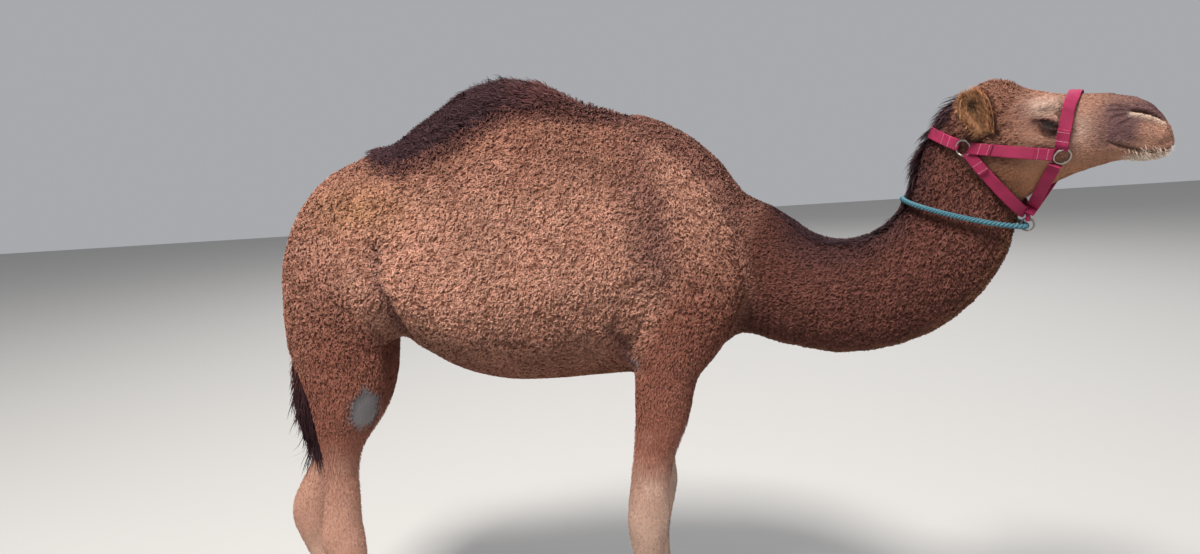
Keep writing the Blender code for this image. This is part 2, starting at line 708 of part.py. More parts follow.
def stretch_between(points, start, end):
    """Indices of the loop's shorter run from the point nearest start to that nearest end."""
    count = len(points)
    first = int(np.argmin(np.linalg.norm(points - np.array(start), axis=1)))
    last = int(np.argmin(np.linalg.norm(points - np.array(end), axis=1)))
    forward = (last - first) % count
    backward = (first - last) % count
    if forward <= backward:
        return [(first + k) % count for k in range(forward + 1)]
    return [(first - k) % count for k in range(backward + 1)]


def make_band(name, things, frame, start, end):
    """Webbing from start to end, pulled tight round the meshes in the frame's plane."""
    half = 0.5 * WEBBING_WIDTH
    edges = []
    for shift in (-half, half):
        points, outs = taut_loop(things, frame, shift, WEBBING_CLEARANCE)
        run = stretch_between(points, start, end)
        edges.append(even_run(points[run], outs[run], 10))
    return webbing_between(name, edges)


def even_run(points, outs, count):
    """Count points spread evenly over a run of points, with their outward directions."""
    places = np.linspace(0, len(points) - 1, count)
    index = np.arange(len(points))
    path = np.stack([np.interp(places, index, points[:, k]) for k in range(3)], axis=1)
    away = np.stack([np.interp(places, index, outs[:, k]) for k in range(3)], axis=1)
    return path, away / np.linalg.norm(away, axis=1)[:, None]


def webbing_between(name, edges):
    """Flat webbing between its two edge paths, with its thickness outward."""
    (left, left_out), (right, right_out) = edges
    rings = np.stack([left, right, right + right_out * WEBBING_THICKNESS,
                      left + left_out * WEBBING_THICKNESS], axis=1)
    return object_from_mesh(name, grid_mesh(name, rings))


def make_ring(name, centre, normal, radius):
    """Round wire ring."""
    turn = Vector((0, 0, 1)).rotation_difference(Vector(normal)).to_matrix().to_4x4()
    bpy.ops.mesh.primitive_torus_add(major_segments=14, minor_segments=4, major_radius=radius,
                                     minor_radius=RING_WIRE)
    ring = bpy.context.active_object
    ring.name = name
    ring.data.transform(Matrix.Translation(centre) @ turn)
    return ring


def surface_place(tree, along, height, side, lift):
    """Point on the head's surface at one side, lifted off it, with the surface's normal."""
    start = head_place(along, side * 0.4, height)
    inward = (head_place(along, 0.0, height) - start).normalized()
    spot, normal, _, _ = tree.ray_cast(start, inward)
    return spot + normal * lift, normal


def head_frame(first, second):
    """Frame of the plane that holds the head's side axis and runs from first to second."""
    start = head_place(first[0], 0.0, first[1])
    down = (head_place(second[0], 0.0, second[1]) - start).normalized()
    right = head_place(0, 1, 0) - HEAD_ORIGIN
    return plane_frame(start, right.cross(down), right)


def flat_point(frame, place):
    """Coordinates of a point in the frame's YZ plane."""
    local = frame.inverted() @ place
    return (local.y, local.z)


def from_ring(ring, towards, distance=STRAP_START):
    """Point beside a ring where the strap that leaves it for another point starts."""
    return ring + (towards - ring).normalized() * distance


def make_halter(head, neck):
    """Webbing bands, their rings, and the keeper of the throat ring."""
    graph = bpy.context.evaluated_depsgraph_get()
    tree = BVHTree.FromObject(head, graph)
    webbing = []
    metal = []
    cheek = {}
    nose = {}
    for side in (1, -1):
        word = side_name(side)
        cheek[side], outward = surface_place(tree, *CHEEK_RING, side, RING_LIFT)
        metal.append(make_ring("ring_cheek_" + word, cheek[side], outward, RING_RADIUS))
        nose[side], outward = surface_place(tree, *NOSE_RING, side, RING_LIFT)
        metal.append(make_ring("ring_nose_" + word, nose[side], outward, RING_RADIUS))
    side_axis = head_place(0, 1, 0) - HEAD_ORIGIN
    throat = head_place(THROAT_RING[0], 0.0, THROAT_RING[1])
    metal.append(make_ring("ring_throat", throat, side_axis, THROAT_RING_RADIUS))

    frame = head_frame(CHEEK_RING, NOSE_RING)
    for side in (1, -1):
        start = from_ring(cheek[side], nose[side])
        end = from_ring(nose[side], cheek[side])
        webbing.append(make_band("halter_cheek_" + side_name(side), [head], frame, start, end))

    over = [("halter_nose", NOSE_RING, NOSE_TOP, nose, [head]),
            ("halter_crown", CHEEK_RING, CROWN, cheek, [head, neck]),
            ("halter_throat", CHEEK_RING, THROAT_TURN, cheek, [head, neck]),
            ("halter_chin", NOSE_RING, CHIN_TURN, nose, [head])]
    for name, ring, far, centres, things in over:
        frame = head_frame(ring, far)
        middle = head_place(far[0], 0.0, far[1])
        turn_point = flat_point(frame, middle) if name == "halter_chin" else None
        halves = []
        for side in (1, -1):
            aim = head_place(0.5 * (ring[0] + far[0]), side * 0.08, 0.5 * (ring[1] + far[1]))
            distance = THROAT_START if name == "halter_throat" else STRAP_START
            halves.append(from_ring(centres[side], aim, distance))
        webbing.append(make_long_band(name, things, frame, halves, middle, turn_point))

    half_size = 0.5 * Vector(KEEPER_SIZE)
    keeper = block(-half_size, half_size, Matrix.Translation(head_place(KEEPER[0], 0.0, KEEPER[1]))
                   @ Matrix.Rotation(HEAD_TURN, 4, "Z"))
    keeper.name = "halter_keeper"
    return webbing, metal, keeper


def make_long_band(name, things, frame, ends, middle, turn):
    """Webbing that runs from one side over or under the middle to the other side."""
    half = 0.5 * WEBBING_WIDTH
    edges = []
    for shift in (-half, half):
        points, outs = taut_loop(things, frame, shift, WEBBING_CLEARANCE, turn, turn is not None,
                                 160)
        first = stretch_between(points, ends[0], middle)
        second = stretch_between(points, middle, ends[1])
        run = first + second[1:]
        edges.append(even_run(points[run], outs[run], 25))
    return webbing_between(name, edges)


def make_rope(neck, head):
    """Rope collar round the top of the neck, through the throat ring."""
    frame = head_frame(ROPE_TURN, ROPE_BACK)
    turn = head_place(ROPE_TURN[0], 0.0, ROPE_TURN[1])
    points, _ = taut_loop([neck, head], frame, 0.0, ROPE_RADIUS + ROPE_CLEARANCE,
                          flat_point(frame, turn), count=32)
    curve = bpy.data.curves.new("rope", "CURVE")
    curve.dimensions = "3D"
    spline = curve.splines.new("POLY")
    spline.points.add(len(points) - 1)
    for point, place in zip(spline.points, points):
        point.co = (*place, 1.0)
    spline.use_cyclic_u = True
    curve.bevel_depth = ROPE_RADIUS
    curve.bevel_resolution = 1
    line = bpy.data.objects.new("rope_collar line", curve)
    bpy.context.scene.collection.objects.link(line)
    rope = object_from_mesh("rope_collar", finished_mesh(line))
    bpy.data.objects.remove(line, do_unlink=True)
    face_outward(rope)
    return rope


# ---------------------------------------------------------------- the whole animal
def finish(thing, collection, material):
    """Put a piece in the collection, at its final place, with its own material."""
    thing.data.transform(Matrix.Translation(TRUNK_SHIFT))
    thing.data.materials.clear()
    thing.data.materials.append(material)
    for old in list(thing.users_collection):
        old.objects.unlink(thing)
    collection.objects.link(thing)
    thing.data.shade_smooth()
    thing.data.set_sharp_from_angle(angle=math.radians(50.0))


def build():
    empty_scene()
    collection = new_collection("dromedary")
    skin = fused_body()
    body = thinned(skin, BODY_FACES)
    fine_body = thinned(skin, HEAD_FACES)
    discard(skin)

    beyond = ((0, -CUT_REACH, -CUT_REACH), (1, CUT_REACH, CUT_REACH))
    head_cut = head_frame(*HEAD_CUT)
    pieces = {}
    pieces["head"] = part_off(fine_body, "head", *beyond, head_cut)
    discard(fine_body)
    discard(part_off(body, "coarse head", *beyond, head_cut))
    pieces["neck_upper"] = part_off(body, "neck_upper", *beyond, plane_frame(*NECK_CUT))
    pieces["neck_lower"] = part_off(body, "neck_lower", *beyond, plane_frame(*BASE_CUT))
    pieces["hump"] = part_off(body, "hump", (-0.75, -0.4, HUMP_CUT_HEIGHT), (0.40, 0.4, 2.0))
    back, front = FORE_CUT_REACH
    for side in (-1, 1):
        word = "right" if side < 0 else "left"
        lean = (Matrix.Translation((0, side * FORE_CUT_INNER, FORE_CUT_HEIGHT))
                @ Matrix.Rotation(-side * FORE_CUT_LEAN, 4, "X"))
        near, far = sorted((0.0, side * 0.5))
        pieces["foreleg_" + word] = part_off(body, "foreleg_" + word, (back, near, -1.1),
                                             (front, far, 0.0), lean)
        near, far = sorted((side * GAP, side * 0.5))
        pieces["hindleg_" + word] = part_off(body, "hindleg_" + word, (-1.2, near, -0.1),
                                             (HIND_CUT_FRONT, far, HIND_CUT_HEIGHT))
    pieces["trunk"] = body
    body.name = "trunk"

    tail = make_tail()
    for name in ("trunk", "hindleg_right", "hindleg_left"):
        make_room(pieces[name], tail)
    for side in (1, -1):
        ear = make_ear(side)
        make_room(pieces["head"], ear)
        pieces[ear.name] = ear
        eye = make_eye(side)
        make_room(pieces["head"], eye)
        pieces[eye.name] = eye
    pieces["tail"] = tail
    for leg in FOOT_PLACES:
        for nail in make_nails(leg):
            make_room(pieces[leg], nail)
            pieces[nail.name] = nail

    webbing, metal, keeper = make_halter(pieces["head"], pieces["neck_upper"])
    rope = make_rope(pieces["neck_upper"], pieces["head"])
    for ring in metal:
        if ring.name == "ring_throat":
            make_room(keeper, ring)

    coats = {"hump": "crest", "tail": "crest", "head": "face", "ear_right": "face",
             "ear_left": "face", "eye_right": "eye", "eye_left": "eye"}
    for name, piece in pieces.items():
        kind = "nail" if name.startswith("nail") else coats.get(name, "coat")
        roughness = 0.08 if kind == "eye" else 0.85
        finish(piece, collection, new_material(name, COLOURS[kind], roughness))
    for piece in webbing + [keeper]:
        finish(piece, collection, new_material(piece.name, COLOURS["webbing"], 0.7))
    for piece in metal:
        finish(piece, collection, new_material(piece.name, COLOURS["metal"], 0.35, 1.0))
    finish(rope, collection, new_material("rope_collar", COLOURS["rope"], 0.6))


build()
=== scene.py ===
# %% [markdown]
# A young dromedary camel stands square on its four broad feet, with its neck swung to its right.
# It wears a webbing halter with wire rings, and a loop of rope round the neck.
# The solid model is loaded first: it fixes every size and place, and the looks are built round it.

# %% Load the solid model
import json
import math

import bmesh
import bpy
import numpy as np
from mathutils import Matrix, Vector
from mathutils.bvhtree import BVHTree

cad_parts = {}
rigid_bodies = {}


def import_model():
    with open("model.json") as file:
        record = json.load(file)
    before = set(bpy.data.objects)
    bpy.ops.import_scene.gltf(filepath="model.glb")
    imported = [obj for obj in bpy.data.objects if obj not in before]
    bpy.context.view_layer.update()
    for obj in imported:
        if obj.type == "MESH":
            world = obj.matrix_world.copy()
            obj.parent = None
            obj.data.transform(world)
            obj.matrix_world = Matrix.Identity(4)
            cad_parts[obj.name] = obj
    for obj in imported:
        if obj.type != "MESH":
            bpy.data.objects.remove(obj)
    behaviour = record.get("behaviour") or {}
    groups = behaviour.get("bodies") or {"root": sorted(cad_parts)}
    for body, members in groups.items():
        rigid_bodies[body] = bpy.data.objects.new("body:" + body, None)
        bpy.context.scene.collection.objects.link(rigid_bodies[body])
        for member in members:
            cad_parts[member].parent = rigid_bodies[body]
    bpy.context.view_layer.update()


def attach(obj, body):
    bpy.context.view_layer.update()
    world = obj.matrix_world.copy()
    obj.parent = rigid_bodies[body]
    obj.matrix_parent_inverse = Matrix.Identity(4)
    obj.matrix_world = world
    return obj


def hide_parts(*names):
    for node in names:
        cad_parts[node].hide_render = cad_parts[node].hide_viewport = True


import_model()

# %% [markdown]
# Everything on the animal is placed in one of two frames. The trunk has its own origin under its
# middle line, and the head has a frame turned to where it looks: along it, out to its right, and up.

# %% Frames of trunk and head
TRUNK_PLACE = np.array([-0.102, 0.158, 0.0])
HEAD_TURN = math.radians(-33.0)
HEAD_PLACE = TRUNK_PLACE + (0.838, -0.349, 0.0)
AHEAD = np.array([math.cos(HEAD_TURN), math.sin(HEAD_TURN), 0.0])
HEAD_RIGHT = np.array([math.sin(HEAD_TURN), -math.cos(HEAD_TURN), 0.0])
UP = np.array([0.0, 0.0, 1.0])
SIDES = {"right": 1, "left": -1}


def on_head(along, out, height):
    """Point at a distance along the head, out to its right and up, as one sum of three steps."""
    along, out, height = (np.asarray(value, float)[..., None] for value in (along, out, height))
    return HEAD_PLACE + AHEAD * along + HEAD_RIGHT * out + UP * height


def head_parts(points):
    """Distances along the head, out and up, of points in the frame: one dot product for each."""
    local = points - HEAD_PLACE
    return local @ AHEAD, local @ HEAD_RIGHT, local[:, 2]


def right_half(points):
    """Places along, out and up on the head, with its left side folded onto its right."""
    along, out, height = head_parts(points)
    return np.stack([along, np.abs(out), height], axis=1)


def distance_from(place, places):
    """Length of the step from one place to each of many."""
    return np.linalg.norm(places - np.array(place), axis=1)


print("muzzle tip about", np.round(on_head(0.392, 0, 1.372), 3))

# %% [markdown]
# The camera stands at the animal's right, at the height of its back, and looks a little down.
# Its frame is cut off below the knees, as one sees an animal that stands close by.
# The floor is pale and plain, and three big soft lamps light the coat from above and both sides.

# %% Camera, floor and light
CAMERA_PLACE = (-0.0203, -2.1806, 1.45)
CAMERA_HEADING = math.radians(2.0)
CAMERA_PITCH = math.radians(9.0)
CAMERA_ROLL = math.radians(3.7)
LENS = 26.4                              # millimetres, on film 36 mm wide
FILM_WIDTH = 36.0
FLOOR_HALF = 14.0
FLOOR_GREY = (0.42, 0.415, 0.405, 1.0)
SKY_WHITE, SKY_STRENGTH = (0.93, 0.95, 1.0, 1.0), 0.42
# name, place, the point it is aimed at, side, watts, colour
LAMPS = [("key", (-1.6, -3.4, 7.6), (0, 0, 1.0), 2.0, 1150, (1.0, 0.95, 0.89)),
         ("front", (6.0, -4.5, 3.5), (0, 0, 1.0), 3.5, 75, (0.95, 0.97, 1.0)),
         ("back", (1.5, 7.0, 6.5), (0, 0, 1.1), 4.0, 420, (1.0, 1.0, 1.0))]


def add_camera():
    """Turn about the vertical, then down, then about the line of sight."""
    data = bpy.data.cameras.new("camera")
    data.lens = LENS
    data.sensor_width = FILM_WIDTH
    camera = bpy.data.objects.new("camera", data)
    bpy.context.scene.collection.objects.link(camera)
    turn = (Matrix.Rotation(CAMERA_HEADING, 4, "Z")
            @ Matrix.Rotation(math.radians(90) - CAMERA_PITCH, 4, "X")
            @ Matrix.Rotation(-CAMERA_ROLL, 4, "Z"))
    camera.matrix_world = Matrix.Translation(CAMERA_PLACE) @ turn
    bpy.context.scene.camera = camera


def add_lamp(name, place, aim, size, power, colour):
    """Square area lamp that faces the point it is aimed at."""
    data = bpy.data.lights.new(name, "AREA")
    data.size = size
    data.energy = power
    data.color = colour
    lamp = bpy.data.objects.new(name, data)
    bpy.context.scene.collection.objects.link(lamp)
    lamp.location = place
    lamp.rotation_euler = (Vector(aim) - Vector(place)).to_track_quat("-Z", "Y").to_euler()


def add_stage():
    """Large square floor at the soles, and an even pale sky."""
    mesh = bpy.data.meshes.new("floor")
    signs = [(-1, -1), (1, -1), (1, 1), (-1, 1)]
    corners = [(a * FLOOR_HALF, b * FLOOR_HALF, 0) for a, b in signs]
    mesh.from_pydata(corners, [], [(0, 1, 2, 3)])
    material = bpy.data.materials.new("floor")
    material.use_nodes = True
    shader = material.node_tree.nodes["Principled BSDF"]
    shader.inputs["Base Color"].default_value = FLOOR_GREY
    shader.inputs["Roughness"].default_value = 0.9
    mesh.materials.append(material)
    floor = bpy.data.objects.new("floor", mesh)
    bpy.context.scene.collection.objects.link(floor)
    world = bpy.data.worlds.new("studio")
    world.use_nodes = True
    sky = world.node_tree.nodes["Background"]
    sky.inputs["Color"].default_value = SKY_WHITE
    sky.inputs["Strength"].default_value = SKY_STRENGTH
    bpy.context.scene.world = world


add_camera()
add_stage()
for lamp in LAMPS:
    add_lamp(*lamp)
bpy.context.scene.view_settings.view_transform = "Standard"
print("camera, floor and", len(LAMPS), "lamps")

# %% [markdown]
# Every new piece is a set of points worked out as whole arrays, with faces that point outward.
# One function turns points and faces into an object; another joins it to the solid model.

# %% From arrays to pieces
def make_piece(name, points, faces, material=None):
    """Mesh object from points and a list of face arrays, one array for each number of corners."""
    faces = [np.asarray(group) for group in (faces if isinstance(faces, list) else [faces])]
    corners = np.concatenate([group.ravel() for group in faces])
    sizes = np.concatenate([np.full(len(group), group.shape[1]) for group in faces])
    mesh = bpy.data.meshes.new(name)
    mesh.vertices.add(len(points))
    mesh.vertices.foreach_set("co", np.asarray(points, np.float32).ravel())
    mesh.loops.add(len(corners))
    mesh.loops.foreach_set("vertex_index", corners.astype(np.int32))
    mesh.polygons.add(len(sizes))
    mesh.polygons.foreach_set("loop_start", (np.cumsum(sizes) - sizes).astype(np.int32))
    mesh.update(calc_edges=True)
    mesh.shade_smooth()
    if material is not None:
        mesh.materials.append(material)
    piece = bpy.data.objects.new(name, mesh)
    bpy.context.scene.collection.objects.link(piece)
    return piece


def join_model(piece, slot, *nodes):
    """The piece rides on the still body and stands for the nodes, which are hidden. The slot is not
    used.
    """
    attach(piece, "root")
    if nodes:
        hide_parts(*nodes)


print("pieces can be made and joined")

# %% [markdown]
# A mesh is read and written a whole field at a time, because a loop over its vertices is slow.

# %% Fields of a mesh
def set_attribute(mesh, name, values):
    """Number or colour at each vertex, for a material to read."""
    kind, field = ("FLOAT", "value") if values.ndim == 1 else ("FLOAT_COLOR", "color")
    layer = mesh.attributes.new(name, kind, "POINT")
    layer.data.foreach_set(field, np.ascontiguousarray(values, np.float32).ravel())


def set_shade(mesh, colours):
    """Colour at each vertex, with the fourth number that a colour attribute needs."""
    set_attribute(mesh, "shade", np.column_stack([colours, np.ones(len(colours))]))


def read_rows(items, field, width, kind=np.float32):
    """One field of every item of a mesh, such as its places, with a row for each item."""
    flat = np.empty(len(items) * width, kind)
    items.foreach_get(field, flat)
    return flat.reshape(-1, width)


def coordinates(mesh):
    """The places of a mesh's vertices as one array."""
    return read_rows(mesh.vertices, "co", 3).astype(float)


def normals_of(mesh):
    """The outward directions at a mesh's vertices as one array."""
    return read_rows(mesh.vertex_normals, "vector", 3).astype(float)


def set_coordinates(mesh, points):
    """Put the vertices at new places."""
    mesh.vertices.foreach_set("co", np.asarray(points, np.float32).ravel())
    mesh.update()


def lay_map(mesh, name, flat):
    """Texture map from one flat place for each vertex: every corner takes its vertex's place."""
    corner = read_rows(mesh.loops, "vertex_index", 1, np.int32)[:, 0]
    layer = mesh.uv_layers.new(name=name)
    layer.data.foreach_set("uv", flat[corner].astype(np.float32).ravel())


print("floor corners:", coordinates(bpy.data.meshes["floor"]).tolist())

# %% [markdown]
# Most pieces are tubes: rings of points, with a face between each two points and the next ring's.

# %% Tubes and shells
def grid_quads(rows, columns):
    """Faces of rings of points: each joins a point to the next in its ring and the next ring."""
    index = np.arange(rows * columns).reshape(rows, columns)
    index = np.hstack([index, index[:, :1]])
    return np.stack([index[:-1, :-1], index[:-1, 1:], index[1:, 1:], index[1:, :-1]],
                    axis=-1).reshape(-1, 4)


def closed_tube(rings):
    """Points and faces of a tube of rings whose two ends are closed by a fan about their middle."""
    rows, columns, _ = rings.shape
    ends = rings[[0, -1]].mean(axis=1)
    points = np.vstack([rings.reshape(-1, 3), ends])
    around = np.arange(columns)
    following = np.roll(around, -1)
    first = np.stack([following, around, np.full(columns, rows * columns)], axis=1)
    last_row = (rows - 1) * columns
    last = np.stack([last_row + around, last_row + following,
                     np.full(columns, rows * columns + 1)], axis=1)
    return points, [grid_quads(rows, columns), np.vstack([first, last])]


def closed_ring(rings):
    """Points and faces of a tube whose last ring is its first, so that it has no ends."""
    rows, columns, _ = rings.shape
    return rings[:-1].reshape(-1, 3), [grid_quads(rows, columns) % ((rows - 1) * columns)]


def joined(shells):
    """Points and faces of several shells as one set: each is numbered on from those before it."""
    starts = np.cumsum([0] + [len(points) for points, _ in shells])
    kinds = zip(*[[group + start for group in faces] for (_, faces), start in zip(shells, starts)])
    return np.vstack([points for points, _ in shells]), [np.vstack(kind) for kind in kinds]


def turned(local, turn):
    """Turn about the vertical: x cos - y sin, and x sin + y cos."""
    cosine, sine = math.cos(turn), math.sin(turn)
    return np.stack([local[..., 0] * cosine - local[..., 1] * sine,
                     local[..., 0] * sine + local[..., 1] * cosine, local[..., 2]], axis=-1)


print("a tube of 3 rings of 4:", [len(group) for group in closed_tube(np.zeros((3, 4, 3)))[1]])

# %% [markdown]
# Soft steps and bell curves blend one shape, length or colour into the next.

# %% Curves of numbers
def circle(count):
    """Even angles all round, from 0."""
    return np.linspace(0, 2 * np.pi, count, endpoint=False)


def smoothstep(low, high, value):
    """0 below low, 1 above high, and a soft S between them: 3t^2 - 2t^3."""
    t = np.clip((value - low) / (high - low), 0, 1)
    return t * t * (3 - 2 * t)


def falling(low, high, value):
    """1 below low, 0 above high: one minus the soft step."""
    return 1 - smoothstep(low, high, value)


def bump(value, middle, spread):
    """Bell curve of height 1 about the middle: exp(-(distance / spread)^2)."""
    return np.exp(-(((value - middle) / spread) ** 2))


def unit(vectors):
    """The same directions with length 1: each row over the root of its squares' sum."""
    return vectors / np.maximum(np.linalg.norm(vectors, axis=-1, keepdims=True), 1e-9)


print("a soft step a quarter of the way:", smoothstep(0, 1, 0.25))

# %% [markdown]
# The flesh is lofted: each row gives a place on an axis and the half sizes of the ring round it.
# Trunk, neck, head, legs and feet are lofted apart, because a smooth closed surface is easy to
# work out along one axis and hard to work out over a branching body. They are fused afterwards.

# %% Rows of the lofts
# trunk: x, height of the widest line, up, down, half width, narrowing of the upper half
TRUNK_ROWS = [
    (-0.836, 1.120, 0.050, 0.060, 0.040, 0.00), (-0.816, 1.135, 0.130, 0.130, 0.100, 0.05),
    (-0.760, 1.150, 0.196, 0.190, 0.160, 0.12), (-0.686, 1.150, 0.258, 0.215, 0.200, 0.16),
    (-0.600, 1.140, 0.304, 0.215, 0.222, 0.20), (-0.530, 1.120, 0.355, 0.166, 0.234, 0.24),
    (-0.460, 1.105, 0.416, 0.200, 0.247, 0.28), (-0.390, 1.095, 0.466, 0.235, 0.257, 0.30),
    (-0.320, 1.088, 0.511, 0.256, 0.263, 0.31), (-0.250, 1.085, 0.534, 0.268, 0.266, 0.32),
    (-0.187, 1.085, 0.537, 0.273, 0.266, 0.32), (-0.120, 1.087, 0.523, 0.276, 0.262, 0.31),
    (-0.060, 1.090, 0.493, 0.277, 0.254, 0.30), (0.000, 1.095, 0.459, 0.281, 0.243, 0.28),
    (0.080, 1.105, 0.417, 0.290, 0.224, 0.26), (0.158, 1.115, 0.384, 0.300, 0.204, 0.24),
    (0.234, 1.120, 0.341, 0.285, 0.188, 0.20), (0.297, 1.120, 0.293, 0.260, 0.172, 0.15),
    (0.360, 1.110, 0.232, 0.212, 0.146, 0.10), (0.410, 1.100, 0.160, 0.150, 0.105, 0.05),
    (0.440, 1.090, 0.070, 0.070, 0.050, 0.00),
]
# neck: x, y, z of its axis, half depth, half width, heading of its side in degrees
NECK_ROWS = [
    (0.230, 0.000, 1.150, 0.180, 0.130, 0.0), (0.340, -0.006, 1.110, 0.182, 0.138, -3.0),
    (0.434, -0.032, 1.068, 0.170, 0.128, -14.0), (0.514, -0.098, 1.032, 0.152, 0.106, -30.0),
    (0.599, -0.168, 1.019, 0.144, 0.094, -38.0), (0.688, -0.234, 1.042, 0.139, 0.088, -38.0),
    (0.762, -0.290, 1.098, 0.136, 0.085, -37.0), (0.812, -0.324, 1.170, 0.130, 0.082, -36.0),
    (0.838, -0.342, 1.250, 0.123, 0.080, -34.0), (0.852, -0.352, 1.330, 0.118, 0.078, -33.0),
    (0.864, -0.366, 1.400, 0.100, 0.068, -33.0),
]
# head: distance along it, height of the widest line, up, down, half width
HEAD_ROWS = [
    (-0.052, 1.405, 0.020, 0.030, 0.022), (-0.035, 1.405, 0.064, 0.050, 0.052),
    (0.000, 1.400, 0.104, 0.080, 0.077), (0.035, 1.398, 0.118, 0.105, 0.088),
    (0.068, 1.398, 0.125, 0.128, 0.092), (0.102, 1.400, 0.112, 0.138, 0.090),
    (0.130, 1.402, 0.094, 0.134, 0.087), (0.160, 1.406, 0.083, 0.124, 0.082),
    (0.190, 1.408, 0.074, 0.112, 0.074), (0.225, 1.406, 0.074, 0.094, 0.063),
    (0.270, 1.398, 0.080, 0.072, 0.054), (0.300, 1.396, 0.078, 0.062, 0.051),
    (0.330, 1.394, 0.070, 0.062, 0.050), (0.355, 1.388, 0.058, 0.054, 0.047),
    (0.376, 1.380, 0.040, 0.039, 0.038), (0.392, 1.372, 0.018, 0.018, 0.020),
]
# legs: x, distance out from the trunk's middle, z, half length, half width
FORELEG_ROWS = [
    (0.150, 0.080, 1.400, 0.050, 0.035), (0.195, 0.112, 1.300, 0.090, 0.060),
    (0.240, 0.136, 1.180, 0.108, 0.066), (0.262, 0.146, 1.060, 0.112, 0.072),
    (0.215, 0.152, 0.960, 0.110, 0.078), (0.172, 0.156, 0.885, 0.094, 0.076),
    (0.155, 0.156, 0.826, 0.085, 0.070), (0.141, 0.152, 0.728, 0.075, 0.062),
    (0.121, 0.147, 0.649, 0.063, 0.053), (0.110, 0.144, 0.597, 0.058, 0.048),
    (0.101, 0.141, 0.546, 0.056, 0.047), (0.096, 0.139, 0.493, 0.058, 0.051),
    (0.092, 0.137, 0.435, 0.061, 0.054), (0.088, 0.135, 0.380, 0.051, 0.047),
    (0.084, 0.133, 0.310, 0.037, 0.036), (0.080, 0.131, 0.220, 0.033, 0.032),
    (0.079, 0.130, 0.155, 0.040, 0.038), (0.084, 0.130, 0.122, 0.047, 0.045),
    (0.100, 0.130, 0.080, 0.050, 0.050), (0.112, 0.130, 0.045, 0.048, 0.050),
]
RIGHT_HINDLEG_ROWS = [
    (-0.620, 0.060, 1.330, 0.060, 0.050), (-0.660, 0.105, 1.250, 0.112, 0.082),
    (-0.680, 0.128, 1.170, 0.124, 0.096), (-0.686, 0.140, 1.080, 0.125, 0.102),
    (-0.686, 0.148, 0.990, 0.125, 0.100), (-0.674, 0.154, 0.915, 0.117, 0.092),
    (-0.668, 0.157, 0.850, 0.110, 0.083), (-0.676, 0.156, 0.800, 0.097, 0.075),
    (-0.687, 0.153, 0.750, 0.081, 0.066), (-0.698, 0.150, 0.700, 0.064, 0.057),
    (-0.706, 0.147, 0.640, 0.052, 0.049), (-0.713, 0.144, 0.560, 0.051, 0.045),
    (-0.722, 0.142, 0.490, 0.056, 0.047), (-0.726, 0.140, 0.435, 0.063, 0.049),
    (-0.716, 0.138, 0.375, 0.053, 0.043), (-0.709, 0.137, 0.310, 0.040, 0.035),
    (-0.706, 0.136, 0.230, 0.035, 0.031), (-0.703, 0.135, 0.160, 0.038, 0.035),
    (-0.698, 0.135, 0.120, 0.045, 0.043), (-0.680, 0.135, 0.080, 0.048, 0.048),
    (-0.669, 0.135, 0.045, 0.046, 0.048),
]
LEFT_HINDLEG_ROWS = [
    (-0.630, 0.060, 1.330, 0.060, 0.050), (-0.670, 0.105, 1.250, 0.110, 0.082),
    (-0.692, 0.126, 1.170, 0.122, 0.096), (-0.700, 0.134, 1.080, 0.124, 0.102),
    (-0.704, 0.138, 0.990, 0.122, 0.098), (-0.704, 0.140, 0.915, 0.114, 0.090),
    (-0.703, 0.140, 0.850, 0.106, 0.081), (-0.711, 0.139, 0.790, 0.096, 0.073),
    (-0.727, 0.138, 0.735, 0.086, 0.064), (-0.760, 0.136, 0.670, 0.072, 0.055),
    (-0.800, 0.134, 0.610, 0.060, 0.048), (-0.842, 0.132, 0.545, 0.055, 0.044),
    (-0.880, 0.130, 0.475, 0.060, 0.046), (-0.906, 0.129, 0.405, 0.066, 0.049),
    (-0.904, 0.128, 0.345, 0.055, 0.043), (-0.894, 0.128, 0.280, 0.041, 0.035),
    (-0.880, 0.127, 0.205, 0.035, 0.031), (-0.868, 0.127, 0.150, 0.039, 0.035),
    (-0.860, 0.127, 0.115, 0.045, 0.043), (-0.842, 0.127, 0.078, 0.048, 0.048),
    (-0.830, 0.127, 0.045, 0.046, 0.048),
]
TAIL_ROWS = [
    (-0.775, 0.000, 1.225, 0.020, 0.020), (-0.806, 0.000, 1.210, 0.032, 0.030),
    (-0.830, 0.000, 1.150, 0.028, 0.027), (-0.838, 0.000, 1.050, 0.023, 0.022),
    (-0.846, 0.000, 0.950, 0.020, 0.019), (-0.848, 0.000, 0.880, 0.024, 0.022),
    (-0.842, 0.000, 0.800, 0.029, 0.026), (-0.830, 0.000, 0.710, 0.024, 0.022),
    (-0.822, 0.000, 0.640, 0.008, 0.008),
]
FOREFOOT_STEP = 0.052        # how far the left forefoot stands ahead of the right one
PAD_LEAD = 0.014             # a foot's pad lies this far ahead of the lowest row of its leg
PAD_SIZE = (0.172, 0.150, 0.070)
PAD_PROFILE = [(0.0, 0.90), (0.09, 0.985), (0.29, 1.0), (0.54, 0.93), (0.80, 0.76), (1.0, 0.52)]
FEET = {
    "foreleg_right": (FORELEG_ROWS[-1][0] + PAD_LEAD, -FORELEG_ROWS[-1][1]),
    "foreleg_left": (FORELEG_ROWS[-1][0] + PAD_LEAD + FOREFOOT_STEP, FORELEG_ROWS[-1][1]),
    "hindleg_right": (RIGHT_HINDLEG_ROWS[-1][0] + PAD_LEAD, -RIGHT_HINDLEG_ROWS[-1][1]),
    "hindleg_left": (LEFT_HINDLEG_ROWS[-1][0] + PAD_LEAD, LEFT_HINDLEG_ROWS[-1][1]),
}
print(sum(map(len, (TRUNK_ROWS, NECK_ROWS, HEAD_ROWS, FORELEG_ROWS))), "rows of one side")

